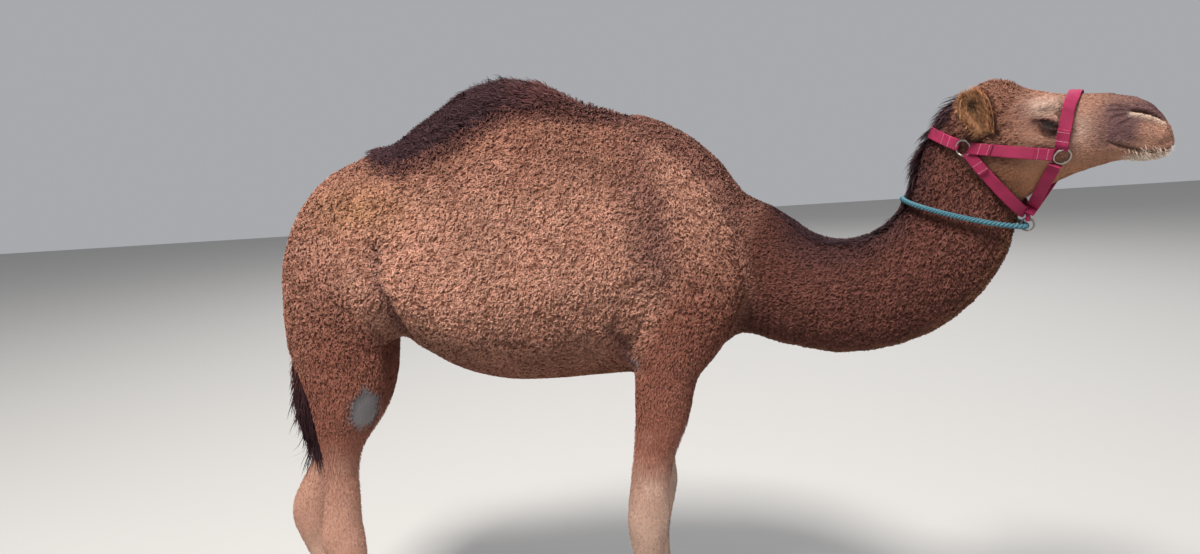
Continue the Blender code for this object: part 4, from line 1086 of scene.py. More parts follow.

# %% [markdown]
# The markings are formulas of place: a dark crest, a redder back and neck, pale shanks and brows,
# tan jaws, and grey callus where the animal kneels. Some also carry painted light: shade on the
# neck, shoulder, lower trunk and legs, and a highlight on the brow and hip. Skin and hair read the
# same colours.

# %% Markings
FLANK, BACK, SHOULDER_WITH_SHADE = (0.58, 0.318, 0.232), (0.42, 0.205, 0.145), (0.24, 0.105, 0.090)
NECK_WITH_SHADE, NECK_TOP, THROAT = (0.178, 0.067, 0.051), (0.100, 0.039, 0.037), (0.36, 0.170, 0.090)
CREST, LEG_WITH_SHADE, SHANK = (0.038, 0.016, 0.020), (0.262, 0.102, 0.071), (0.44, 0.305, 0.240)
CROWN, FACE, BROW = (0.32, 0.152, 0.105), (0.335, 0.180, 0.128), (0.53, 0.385, 0.320)
MUZZLE_SHADE, CHIN, DARK_SHADE = (0.118, 0.062, 0.062), (0.66, 0.560, 0.470), (0.035, 0.018, 0.016)
CALLUS, RIM, SAND = (0.168, 0.156, 0.163), (0.56, 0.420, 0.330), (0.50, 0.265, 0.140)
RUSSET, PLUM_SHADE = (0.150, 0.058, 0.052), (0.190, 0.085, 0.080)


def painted(colours, colour, share):
    """Move the colours towards another one by a share from 0 to 1."""
    return colours + (np.array(colour) - colours) * np.clip(share, 0, 1)[:, None]


def spot(places, middle, spread):
    """Bell curve of the distance from a middle, with its own spread along each axis."""
    return bump(np.linalg.norm((places - np.array(middle)) / np.array(spread), axis=1), 0, 1)


x, y, z = (points - TRUNK_PLACE).T
along, out, height = head_parts(points)
places = np.stack([x, np.abs(y), z], axis=1)
head_places = right_half(points)
share_of = {name: neighbours_mean(is_limb[name].astype(float), edges, 12) for name in NAMES}
legs_share = sum(share_of[name] for name in NAMES if "leg" in name)
head_share = neighbours_mean(is_limb["head"].astype(float), edges, 20)
ragged = noise(points, 0.05, 11)
top = np.cos(angle)

on_trunk, on_neck = share_of["trunk"], share_of["neck"]
band = np.interp(z, [1.05, 1.17, 1.26, 1.35], [0.235, 0.165, 0.150, 0.200])
# colour, and its share at each point; a later row covers the earlier ones
BODY_PAINT = [
    (BACK, smoothstep(1.22, 1.44, z + 0.03 * ragged) * on_trunk),
    (BACK, 0.6 * smoothstep(0.30, 0.42, x) * on_trunk),
    # darker band over the shoulder: partly its darker wool, partly painted shade
    (SHOULDER_WITH_SHADE, 0.50 * bump(x + 0.018 * ragged, band, 0.065) * smoothstep(0.98, 1.16, z)
     * falling(1.36, 1.50, z) * on_trunk),
    # lower trunk darker towards the legs, partly painted shade under the belly
    (LEG_WITH_SHADE, 0.75 * falling(0.86, 1.06, z + 0.03 * ragged) * on_trunk),
    (THROAT, 0.6 * falling(0.82, 0.88, z) * on_trunk),
    # front of the trunk passes into the neck's colour, which holds painted shade
    (NECK_WITH_SHADE, 0.75 * smoothstep(0.20, 0.46, x + 0.03 * ragged) * on_trunk),
    # painted shade over the front of the shoulder, under the neck
    (SHOULDER_WITH_SHADE, 0.48 * smoothstep(0.02, 0.16, x + 0.04 * ragged) * smoothstep(1.0, 1.15, z)
     * on_trunk),
    # sandy hair over the hip, with a painted highlight on its top
    (SAND, 0.75 * spot(places, (-0.590, 0.18, 1.310), (0.13, 0.20, 0.055))),
    # legs and lower thighs in their redder colour, darkened with painted shade
    (LEG_WITH_SHADE, legs_share * (1 - 0.8 * smoothstep(0.95, 1.30, z))),
    (BACK, 0.5 * falling(-0.80, -0.66, x + 0.02 * ragged) * (z > 0.9)),
    # the neck: darker, redder wool, partly painted shade
    (NECK_WITH_SHADE, on_neck),
    (NECK_TOP, on_neck * smoothstep(0.35, 0.95, top) * smoothstep(0.40, 0.52, x)),
    (THROAT, 0.5 * on_neck * smoothstep(0.80, 1.0, -top)),
    (SHANK, legs_share * falling(0.47, 0.70, z + 0.07 * ragged) * 0.9),
    (BACK, 0.65 * legs_share * (x < -0.3) * smoothstep(0.20, 0.42, z)
     * falling(0.60, 0.72, z)),
]
shade = np.tile(np.array(FLANK), (len(points), 1))
for colour, share in BODY_PAINT:
    shade = painted(shade, colour, share)
print(len(BODY_PAINT), "layers of colour on the body")

# %% [markdown]
# Where a camel kneels, its skin is thick, grey and bare: at the stifle, elbow, knee and chest. Each
# patch is a soft spot with a noisy edge. The crest of the hump is painted after them, twice: a
# redder border, and the dark crest inside it. The deepest folds get a painted plum shadow.

# %% Callus, crest and folds
STIFLE, ELBOW, BREAST = (-0.595, 0.245, 0.80), (0.070, 0.22, 0.885), (0.135, 0.0, 0.805)
CALLUSES = [(STIFLE, (0.062, 0.10, 0.078), 1.0), (ELBOW, (0.034, 0.08, 0.050), 1.0),
            ((0.155, 0.137, 0.435), (0.030, 0.035, 0.050), 0.55),
            ((0.205, 0.137, 0.435), (0.030, 0.035, 0.050), 0.55),
            (BREAST, (0.090, 0.080, 0.030), 1.0)]
callus = np.zeros(len(points))
for middle, spread, amount in CALLUSES:
    patch = spot(places, middle, spread) + 0.22 * noise(points, 0.022, 17)
    callus = np.maximum(callus, smoothstep(0.42, 0.58, patch) * amount)
shade = painted(shade, CALLUS, callus)
shade = painted(shade, RUSSET, 0.85 * crest_share(x, z + 0.035, 0.012 * ragged) * on_trunk)
shade = painted(shade, CREST, crest_share(x, z, 0.012 * ragged) * on_trunk
                * (1 - 0.75 * smoothstep(-0.22, 0.02, x)))
FLANK_FOLD, ELBOW_FOLD = BODY_FOLDS[0], BODY_FOLDS[5]
# painted shade along the flank fold and the elbow fold
for line, spread, amount in (FLANK_FOLD, ELBOW_FOLD):
    shade = painted(shade, PLUM_SHADE, 0.75 * bump(reach_beside(line), 0, 0.8 * spread)
                    * smoothstep(0.07, 0.14, np.abs(y)))
print("callus on", int((callus > 0.5).sum()), "points")

# %% [markdown]
# The face is painted the same way, by distances along the head, out and up. The lips and lids are
# drawn by the distance from the lines that shaped them, so colour and relief always agree.
# The creases, nostril slits, mouth line, the skin round the eye and the sides of the muzzle get
# painted shade.

# %% Face
_, outward, long, across = eye_parts(head_places)
gap = lid_gap(long, across)
near_eye = smoothstep(0.25, 0.55, outward) * (distance_from(EYE_PLACE, head_places) < 0.05)
below = across < 0
from_rim, from_nostril, from_mouth = (reach_of(head_places, line)[0]
                                      for line in (NOSTRIL_RIM, NOSTRIL, MOUTH))
WRINKLES = SKIN_FOLDS[6:10]
FACE_PAINT = [
    (FACE, smoothstep(0.095, 0.150, along + 0.008 * ragged)),
    (THROAT, falling(1.30, 1.38, height) * 0.8),
    # the nape takes the neck's colour, with its painted shade
    (NECK_WITH_SHADE, falling(-0.01, 0.05, along - 0.5 * (1.40 - height))),
    # pale hair on the brow, with a painted highlight on top of its bulge
    (BROW, spot(head_places, (0.168, 0.070, 1.453), (0.036, 0.04, 0.021))),
    (BROW, 0.6 * spot(head_places, (0.235, 0.058, 1.405), (0.020, 0.03, 0.028))),
    # painted shade on the sides of the muzzle, less towards its top
    (MUZZLE_SHADE, smoothstep(0.232, 0.285, along + 0.012 * ragged) * smoothstep(1.352, 1.385, height)
     * (1 - 0.45 * smoothstep(1.440, 1.465, height))),
    (FACE, 0.9 * smoothstep(0.315, 0.350, along) * falling(1.400, 1.425, height)),
    (CHIN, smoothstep(0.29, 0.33, along) * falling(1.338, 1.356, height)),
    (RIM, 1.2 * bump(from_rim, 0, 0.0050)),
    # painted shade: a russet band round the eye, wider below it
    (RUSSET, 0.90 * near_eye * falling(0.004, 0.008 + 0.007 * below, gap)),
    # painted shade: dark along the lids' edges under the brow, wider below the eye
    (DARK_SHADE, near_eye * falling(0.001, 0.006 + 0.004 * below, gap)),
    # painted shade below and in front of the eye
    (PLUM_SHADE, 0.95 * spot(head_places, (0.204, 0.070, 1.402), (0.024, 0.03, 0.019))),
    # painted shade that the brow casts on the temple behind it
    (SHOULDER_WITH_SHADE, 0.60 * spot(head_places, (0.128, 0.085, 1.452), (0.016, 0.03, 0.026))),
]
# painted shade in the wrinkles above the nostril
FACE_PAINT += [(DARK_SHADE, 0.55 * bump(reach_of(head_places, line)[0], 0, 0.0028))
               for line, spread, amount in WRINKLES]
# painted shade in the nostril's slit and along the mouth line
FACE_PAINT += [(DARK_SHADE, bump(from_nostril, 0, 0.0036)), (DARK_SHADE, 0.8 * bump(from_mouth, 0, 0.0026))]
face_colour = np.tile(np.array(CROWN), (len(points), 1))
for colour, share in FACE_PAINT:
    face_colour = painted(face_colour, colour, share)
shade = shade + (face_colour - shade) * head_share[:, None]
shade *= (1 + 0.10 * noise(points, 0.09, 5) + 0.08 * noise(points, 0.025, 6))[:, None]
print(len(FACE_PAINT), "layers of colour on the face")

# %% Store the markings on the skin
bare = np.maximum(near_eye * falling(0.0015, 0.0035, gap),
                  np.maximum(bump(from_nostril, 0, 0.0035), bump(from_mouth, 0, 0.0022)))
bare = np.clip(bare + (points[:, 2] < 0.004) + callus * (z > 0.5), 0, 1)
# painted shade: where the wool curls, the skin under it is darker
strand = np.column_stack([1 - 0.55 * curl, 0 * x + 0.5, 0.9 - 0.5 * curl, 0 * x + 1])
set_shade(skin.data, shade)
set_attribute(skin.data, "strand", strand)
skin.data.materials.append(skin_material)
join_model(skin, "body_coat", "head", "neck_upper", "neck_lower", "trunk", "hump", "tail",
           "foreleg_right", "foreleg_left", "hindleg_right", "hindleg_left")
print("markings on", len(points), "points,", int((bare > 0.5).sum()), "of them bare")

# %% [markdown]
# The halter is flat woven webbing, folded round wire rings and sewn down. Its solid bands already
# lie taut on the head, so their middle lines are read from the solid model, and finer webbing with
# rounded edges, a weave, sewn folds and stitches is carried along them.

# %% Places and planes of the halter
WEBBING_WIDTH, WEBBING_THICKNESS = 0.025, 0.0026
# distance along the head and height of the rings, and of the places where the bands turn over
CHEEK_RING, NOSE_RING = (0.016, 1.379), (0.199, 1.354)
POLL, NOSE_TOP = (-0.052, 1.408), (0.217, 1.486)
THROAT_TURN, CHIN_TURN = (0.121, 1.236), (0.140, 1.248)
BANDS = {"cheek_right": (CHEEK_RING, NOSE_RING), "cheek_left": (CHEEK_RING, NOSE_RING),
         "nose": (NOSE_RING, NOSE_TOP), "crown": (CHEEK_RING, POLL),
         "throat": (CHEEK_RING, THROAT_TURN), "chin": (NOSE_RING, CHIN_TURN)}


def node_points(name):
    """The different corner places of one solid."""
    solid = next(thing for thing in bpy.data.objects if thing.type == "MESH" and thing.name == name)
    return np.unique(np.round(coordinates(solid.data), 6), axis=0)


def middle_of(name):
    """Middle of a solid: half way between its lowest and highest corners."""
    found = node_points(name)
    return 0.5 * (found.min(axis=0) + found.max(axis=0))


def plane_axes(first, second):
    """Place, normal, side and down of the plane across the head that runs between two places."""
    start = on_head(first[0], 0.0, first[1])
    down = unit(on_head(second[0], 0.0, second[1]) - start)
    normal = np.cross(HEAD_RIGHT, down)
    return start, normal, HEAD_RIGHT, np.cross(normal, HEAD_RIGHT)


print("nose ring at", middle_of("ring_nose_right").round(3))

# %% Middle lines of the bands
def band_line(name):
    """Middle, across and outward directions of a band, ordered by the angle about its plane."""
    start, normal, side, down = plane_axes(*BANDS[name])
    found = node_points("halter_" + name)
    local = np.stack([(found - start) @ axis for axis in (normal, side, down)], axis=1)
    level = 0.5 * (local[:, 2].min() + local[:, 2].max())
    flat = np.stack([local[:, 1], local[:, 2] - level], axis=1)
    middle = flat.mean(axis=0)
    turn = np.arctan2(flat[:, 1], flat[:, 0]) - math.atan2(middle[1], middle[0])
    turn = (turn + np.pi) % (2 * np.pi) - np.pi
    edges = []
    for chosen in (local[:, 0] < 0, local[:, 0] > 0):
        order = np.argsort(turn[chosen])
        pairs = found[chosen][order].reshape(-1, 2, 3)
        away = np.linalg.norm(flat[chosen][order].reshape(-1, 2, 2), axis=2)
        swap = away[:, 0] > away[:, 1]
        pairs[swap] = pairs[swap][:, ::-1]
        edges.append(pairs)
    left, right = edges
    line = 0.25 * (left.sum(axis=1) + right.sum(axis=1))
    across = unit(right.mean(axis=1) - left.mean(axis=1))
    outward = unit((left[:, 1] - left[:, 0]) + (right[:, 1] - right[:, 0]))
    return line, across, outward


def finer(values, count):
    """Smooth curve through rows, spaced evenly by length."""
    fine = smooth_rows(values, 400)
    steps = np.linalg.norm(np.diff(fine[:, :3], axis=0), axis=1)
    run = np.concatenate([[0], np.cumsum(steps)])
    wanted = np.linspace(0, run[-1], count)
    return np.stack([np.interp(wanted, run, column) for column in fine.T], axis=1), run[-1]


BAR_SPIN = circle(20)
BAR_WIDE = np.sign(np.cos(BAR_SPIN)) * np.abs(np.cos(BAR_SPIN)) ** 0.55
BAR_THICK = np.sign(np.sin(BAR_SPIN)) * np.abs(np.sin(BAR_SPIN)) ** 0.35


def webbing(line, across, outward, width, thickness):
    """Rings of a flat bar with rounded edges: powers of cosine and sine give its nearly square form."""
    return (line[:, None] + 0.5 * width * BAR_WIDE[None, :, None] * across[:, None]
            + 0.5 * thickness * BAR_THICK[None, :, None] * outward[:, None])


lines = {}
for name in BANDS:
    line, across, outward = band_line(name)
    rows, run = finer(np.column_stack([line, across, outward]), max(24, int(12 * len(line))))
    lines[name] = (rows[:, :3], unit(rows[:, 3:6]), unit(rows[:, 6:9]), run)
    print(f"band {name}: {run * 1000:.0f} mm")

# %% [markdown]
# Woven webbing shows fine ribs across it. Its map is in metres, so a sine of the map's two numbers
# gives ribs of real size, and a cloudy noise makes it worn and faded in places.

# %% Webbing finish
def webbing_finish():
    """Ribs across the width and finer ribs along it, from the webbing's own map in metres."""
    finish = Finish("magenta webbing", Roughness=0.62, Specular_IOR_Level=0.35)
    where = finish.node("UVMap", {"uv_map": "weave"}, {})
    along = finish.node("SeparateXYZ", {}, {0: where})
    across = along.sibling(1)
    rib = finish.node("Math", {"operation": "SINE"}, {0: across * 4200.0})
    pick = finish.node("Math", {"operation": "SINE"}, {0: along * 3600.0})
    weave = rib * 0.35 + pick * 0.30
    wear = finish.noise(0.03, 4.0)
    colour = finish.mix((0.16, 0.002, 0.030, 1), (0.36, 0.012, 0.078, 1), weave * 0.5 + wear)
    finish.colour(colour)
    finish.bump(weave, 0.0005)
    return finish.material


webbing_material = webbing_finish()
thread = Finish("pale thread", Base_Color=(0.62, 0.42, 0.46), Roughness=0.7)


def facing(rings):
    """The same rings in the turn that makes their tube face outward.

    A ring that winds to the right about the way ahead has its first two spokes' cross product
    pointing ahead.
    """
    middle = rings[0].mean(axis=0)
    ahead = rings[1].mean(axis=0) - middle
    winding = np.cross(rings[0, 1] - middle, rings[0, 2] - middle)
    return rings if winding @ ahead > 0 else rings[:, ::-1]


def make_webbing(name, line, across, outward, length, width, thickness, *nodes):
    """Webbing along a line, with a map in metres: along it, and across it from its middle."""
    rings = facing(webbing(line, across, outward, width, thickness))
    piece = make_piece(name, *closed_tube(rings), webbing_material)
    along_way = np.linspace(0, length, len(line))[:, None]
    across_way = (0.5 * width * BAR_WIDE)[None, :]
    flat = np.stack(np.broadcast_arrays(along_way, across_way), axis=-1).reshape(-1, 2)
    lay_map(piece.data, "weave", np.vstack([flat, [[0, 0], [length, 0]]]))
    join_model(piece, "webbing", *nodes)


print("webbing finish ready")

# %% [markdown]
# At each end a band runs round its ring's wire and is sewn back on itself. The folded end is a second
# short piece of webbing, carried along ten places: on the band's back, round the wire, and back under
# the band. Two rows of small thread arches hold it.

# %% Bands
RING_REACH = 0.0165          # from a ring's middle to its wire
FOLD_WIDTH, FOLD_THICKNESS = WEBBING_WIDTH - 0.0006, 0.0022
STITCH_ROWS, STITCHES_ACROSS = (0.010, 0.028), np.linspace(-0.0100, 0.0100, 8)


def fold_line(end, ahead, outward, ring):
    """Second layer of webbing: along the band's outside, round the ring's wire and back under."""
    reach = (ring - end) @ ahead - RING_REACH
    wire = end + ahead * reach + outward * ((ring - end) @ outward)
    steps = [end - ahead * 0.034 + outward * 0.0012, end - ahead * 0.031 + outward * 0.0024,
             end - ahead * 0.012 + outward * 0.0024, end - ahead * 0.001 + outward * 0.0026,
             wire - ahead * 0.0010 + outward * 0.0040, wire + ahead * 0.0036 + outward * 0.0022,
             wire + ahead * 0.0040 - outward * 0.0010, wire + ahead * 0.0010 - outward * 0.0036,
             wire - ahead * 0.0040 - outward * 0.0030, end - ahead * 0.004 - outward * 0.0012]
    return np.array(steps)


def stitch(place, along_way, outward, ahead):
    """A short thread: an arch that leaves the webbing and dives back into it."""
    share = np.linspace(-1, 1, 5)
    line = (place + 0.00105 * share[:, None] * along_way
            + (0.0004 * (1 - share**2) - 0.0004)[:, None] * outward)
    spin = circle(6)
    return facing(line[:, None] + 0.00034 * (np.cos(spin)[None, :, None] * ahead
                                             + np.sin(spin)[None, :, None] * outward))


SIDE_RINGS = [f"ring_{part}_{side}" for part in ("cheek", "nose") for side in SIDES]
ring_middles = [middle_of(ring) for ring in SIDE_RINGS]
stitches = []
for name, (line, across, outward, run) in lines.items():
    make_webbing("webbing_" + name, line, across, outward, run, WEBBING_WIDTH, WEBBING_THICKNESS,
                 "halter_" + name)
    for word, end, behind in (("first", 0, 3), ("last", -1, -4)):
        ahead = unit(line[end] - line[behind])
        ring = min(ring_middles, key=lambda place: np.linalg.norm(place - line[end]))
        fold, fold_length = finer(fold_line(line[end], ahead, outward[end], ring), 40)
        side = np.broadcast_to(across[end], fold.shape)
        fold_out = unit(np.cross(side, unit(np.gradient(fold, axis=0))))
        make_webbing(f"fold_{name}_{word}", fold, side, fold_out, fold_length, FOLD_WIDTH,
                     FOLD_THICKNESS)
        for back in STITCH_ROWS:
            for shift in STITCHES_ACROSS:
                place = line[end] - ahead * back + across[end] * shift + outward[end] * 0.0036
                stitches.append(closed_tube(stitch(place, across[end], outward[end], ahead)))

join_model(make_piece("stitches", *joined(stitches), thread.material), "webbing")
print(len(stitches), "stitches")

# %% [markdown]
# Rings are round wire, scuffed where the webbing rubs. A torus is a small circle carried round a
# large one, and the large one is fitted to the solid ring: its plane is the one its corners spread
# least from, and its radius is half way between the nearest and the farthest corner.

# %% Rings and keeper
RING_WIRE = 0.0022
steel = Finish("ring wire", Base_Color=(0.34, 0.32, 0.29), Metallic=1.0)
scuffs = steel.noise(0.006, 5.0)
steel.set(steel.shader.inputs["Roughness"], scuffs * 0.35 + 0.18)
steel.bump(scuffs, 0.0002)


def ring_tube(name):
    """Torus: a circle of wire carried round the circle that best fits its solid."""
    found = node_points(name)
    middle = found.mean(axis=0)
    normal = np.linalg.svd(found - middle)[2][2]
    first = unit(np.cross(normal, UP))
    second = np.cross(normal, first)
    away = found - middle
    radius = np.linalg.norm(away - (away @ normal)[:, None] * normal, axis=1)
    radius = 0.5 * (radius.min() + radius.max())
    turn = np.linspace(0, 2 * np.pi, 57)[:, None, None]
    spin = circle(12)[None, :, None]
    out = np.cos(turn) * first + np.sin(turn) * second
    return middle + out * (radius + RING_WIRE * np.cos(spin)) + RING_WIRE * np.sin(spin) * normal


for name in (*SIDE_RINGS, "ring_throat"):
    ring_piece = make_piece("wire_" + name, *closed_ring(facing(ring_tube(name))), steel.material)
    join_model(ring_piece, "ring_metal", name)

KEEPER_WIDTH, KEEPER_THICKNESS, KEEPER_LENGTH = 0.0085, 0.016, 0.02
line = middle_of("halter_keeper") + np.outer(np.linspace(0.0110, -0.0100, 16), UP)
make_webbing("keeper_loop", line, np.tile(AHEAD, (16, 1)), np.tile(HEAD_RIGHT, (16, 1)),
             KEEPER_LENGTH, KEEPER_WIDTH, KEEPER_THICKNESS, "halter_keeper")
print("five rings and the keeper that hangs on the throat ring")

# %% [markdown]
# The rope is three strands laid together: each strand winds about the middle line, a third of a
# turn apart, and small fibres show as a fine bump.

# %% Rope
ROPE_BACK, ROPE_TURN = (-0.120, 1.262), (0.123, 1.202)
ROPE_TURNS, STRAND_SHIFT, STRAND_RADIUS = 27, 0.0029, 0.0031


def rope_line(count):
    """The rope's middle: the sum of a few waves of the angle that fits its solid best."""
    _, normal, side, down = plane_axes(ROPE_TURN, ROPE_BACK)
    found = node_points("rope_collar")
    middle = found.mean(axis=0)
    turn = np.arctan2((found - middle) @ down, (found - middle) @ side)

    def waves(turn):
        """A column for each wave: one, the cosines, then the sines."""
        orders = np.arange(1, 10)
        return np.column_stack([np.ones(len(turn)), np.cos(np.outer(turn, orders)),
                                np.sin(np.outer(turn, orders))])

    fitted = np.linalg.lstsq(waves(turn), found, rcond=None)[0]
    return waves(np.linspace(0, 2 * np.pi, count)) @ fitted, normal


rope_path, plane_normal = rope_line(700)
tangent = unit(np.gradient(rope_path, axis=0))
tangent[[0, -1]] = unit(tangent[0] + tangent[-1])
outward = unit(np.cross(tangent, plane_normal))
rope_finish = Finish("teal rope", Roughness=0.72)
fibres = rope_finish.noise(0.0012, 3.0)
rope_finish.colour(rope_finish.mix((0.014, 0.075, 0.110, 1), (0.065, 0.200, 0.250, 1), fibres))
rope_finish.bump(fibres, 0.0006)
spin = circle(10)[None, :, None]
strands = []
for third in range(3):
    wind = np.linspace(0, 2 * np.pi * ROPE_TURNS, len(rope_path)) + third * 2 * np.pi / 3
    winding = np.cos(wind)[:, None] * outward + np.sin(wind)[:, None] * plane_normal
    middle = rope_path + STRAND_SHIFT * winding
    rings = middle[:, None] + STRAND_RADIUS * (np.cos(spin) * outward[:, None]
                                               + np.sin(spin) * plane_normal)
    rings[-1] = rings[0]
    strands.append(closed_ring(facing(rings)))
rope = make_piece("rope_strands", *joined(strands), rope_finish.material)
join_model(rope, "rope", "rope_collar")
rope_length = np.linalg.norm(np.diff(rope_path, axis=0), axis=1).sum()
print("rope loop", round(float(rope_length), 3), "m")

# %% [markdown]
# The coat of a young dromedary is tight curled wool on the body, neck and crown, short hair on the
# face and shanks, and long dark hair on the hump, nape and tail. Thousands of thin curves would be
# slow to light and can't be handed on as a shape, so each tuft is a tapering strip of a few faces.
# Its root comes first. Roots are spread evenly over the skin's triangles, and each one takes the
# lie, length, curl and colour of the skin where it stands.

# %% Roots of the tufts
rng = np.random.default_rng(12)
skin.data.calc_loop_triangles()
triangles = np.empty(len(skin.data.loop_triangles) * 3, np.int32)
skin.data.loop_triangles.foreach_get("vertices", triangles)
triangles = triangles.reshape(-1, 3)
skin_normals = normals_of(skin.data)
corners = points[triangles]
areas = 0.5 * np.linalg.norm(np.cross(corners[:, 1] - corners[:, 0], corners[:, 2] - corners[:, 0]),
                             axis=1)
FEW = 1
band_path = np.vstack([entry[0] for entry in lines.values()])


def roots_on(weight, count):
    """Roots spread by weight per area: even steps along the running total, then a random spot."""
    count //= FEW
    amount = np.cumsum(areas * weight[triangles].mean(axis=1))
    steps = (np.arange(count) + rng.random(count)) / count * amount[-1]
    chosen = triangles[np.minimum(np.searchsorted(amount, steps), len(triangles) - 1)]
    parts = rng.dirichlet((1, 1, 1), count)

    def blend(values):
        """Mean of the triangle's three corners by the spot's three shares."""
        return (values[chosen] * parts.reshape(parts.shape + (1,) * (values.ndim - 1))).sum(axis=1)

    return {"place": blend(points), "normal": unit(blend(skin_normals)), "lie": blend(lie),
            "length": blend(length), "depth": blend(depth), "curl": blend(curl),
            "shade": blend(shade), "along": blend(share_along),
            "around": np.arctan2(blend(np.sin(angle)), blend(np.cos(angle))) / (2 * np.pi) + 0.5,
            "lane": np.unique(limb[chosen[:, 0]], return_inverse=True)[1].ravel()}


def pressed(roots):
    """Hair under the webbing and the rope is shorter and flatter."""
    place = roots["place"]
    for path, reach in ((band_path[::4], 0.016), (rope_path[::4], 0.010)):
        square = (place**2).sum(1)[:, None] - 2 * place @ path.T + (path**2).sum(1)
        distance = np.sqrt(np.maximum(square.min(axis=1), 0))
        near = falling(reach * 0.8, reach * 1.3, distance)
        roots["depth"] = roots["depth"] * (1 - 0.75 * near)
        roots["length"] = roots["length"] * (1 - 0.35 * near)
    return roots


print(len(triangles), "triangles,", areas.sum().round(2), "square metres of skin")

# %% [markdown]
# Curled wool doesn't stand evenly. It closes up into winding ridges with dark clefts between them,
# as on a sheep. So the ridges are worked out first, as a function of place, and each tuft later
# leans up the slope of the ridge it stands on.

# %% Ridges of the wool
RIDGE_STEP = 0.002

def ridges(place, size):
    """Ridges of two sizes in patches, and upright pleats where the neck leaves the chest."""
    patch = smoothstep(-0.30, 0.30, noise(place, 0.08, 13))
    woolly = patch * curls(place, size) + (1 - patch) * curls(place, 0.7 * size, 3)
    ahead, _, level = (place - TRUNK_PLACE).T
    wave = ahead / 0.0135 + 0.9 * noise(place, 0.05, 14)
    base = (bump(ahead, 0.445, 0.055) * smoothstep(0.84, 0.92, level)
            * falling(1.14, 1.20, level))
    return woolly + base * (np.abs(np.sin(np.pi * wave)) - woolly)


def slope_of_ridges(place, size, level):
    """How steeply the ridges rise along x, y and z: their change over one small step each way."""
    return np.stack([ridges(place + step, size) - level for step in RIDGE_STEP * np.eye(3)], axis=1)


print("ridge level near the hip", ridges(points[:3], 0.015).round(2))

# %% [markdown]
# A tuft leaves the skin by the coat's depth and lies over by its own length. Two curves say how:
# reach is the share of the length that a step has gone, rise the share of the depth. Straight hair
# has one pair of curves and curled wool another, and each tuft takes a mixture by its curl.

# %% Curves and map of a tuft
STRAIGHT_RISE, CURLED_RISE = (-0.10, 0.40, 0.62, 0.60), (-0.20, 0.62, 1.05, 0.66)
STRAIGHT_REACH, CURLED_REACH = (0.0, 0.36, 0.70, 1.0), (0.0, 0.26, 0.58, 0.86)
LOWEST = 0.0005              # no hair goes into the floor
PATCH = 0.003                # side of a tuft's own patch in the coat's map


def mixed_curve(straight, curled, curl, count):
    """A curve of each tuft by its curl: (1 - curl) straight + curl curled, in another step count."""
    steps, given = np.linspace(0, 1, count), np.linspace(0, 1, len(straight))
    return (1 - curl) * np.interp(steps, given, straight) + curl * np.interp(steps, given, curled)


def lay_bake_map(mesh, roots, tips):
    """Each tuft is a patch 0.003 across, at its root's place on the limb's along and around.

    Every limb of the piece has a lane of its own, so two limbs never share a patch.
    """
    spots = np.stack([roots["along"], roots["around"]], axis=1)
    low, high = spots.min(axis=0), spots.max(axis=0)
    spots = 0.01 + 0.97 * (spots - low) / np.maximum(high - low, 1e-6)
    spots[:, 1] = (spots[:, 1] + roots["lane"]) / (roots["lane"].max() + 1)
    aside = np.append(np.tile([0.0, 1.0], len(tips) // 2), 0.5)
    flat = spots[:, None] + PATCH * np.stack([tips, aside], axis=1)[None]
    lay_map(mesh, "OFBake", flat.reshape(-1, 2))


print("half way, straight hair has risen", mixed_curve(STRAIGHT_RISE, CURLED_RISE, 0.0, 3)[1])

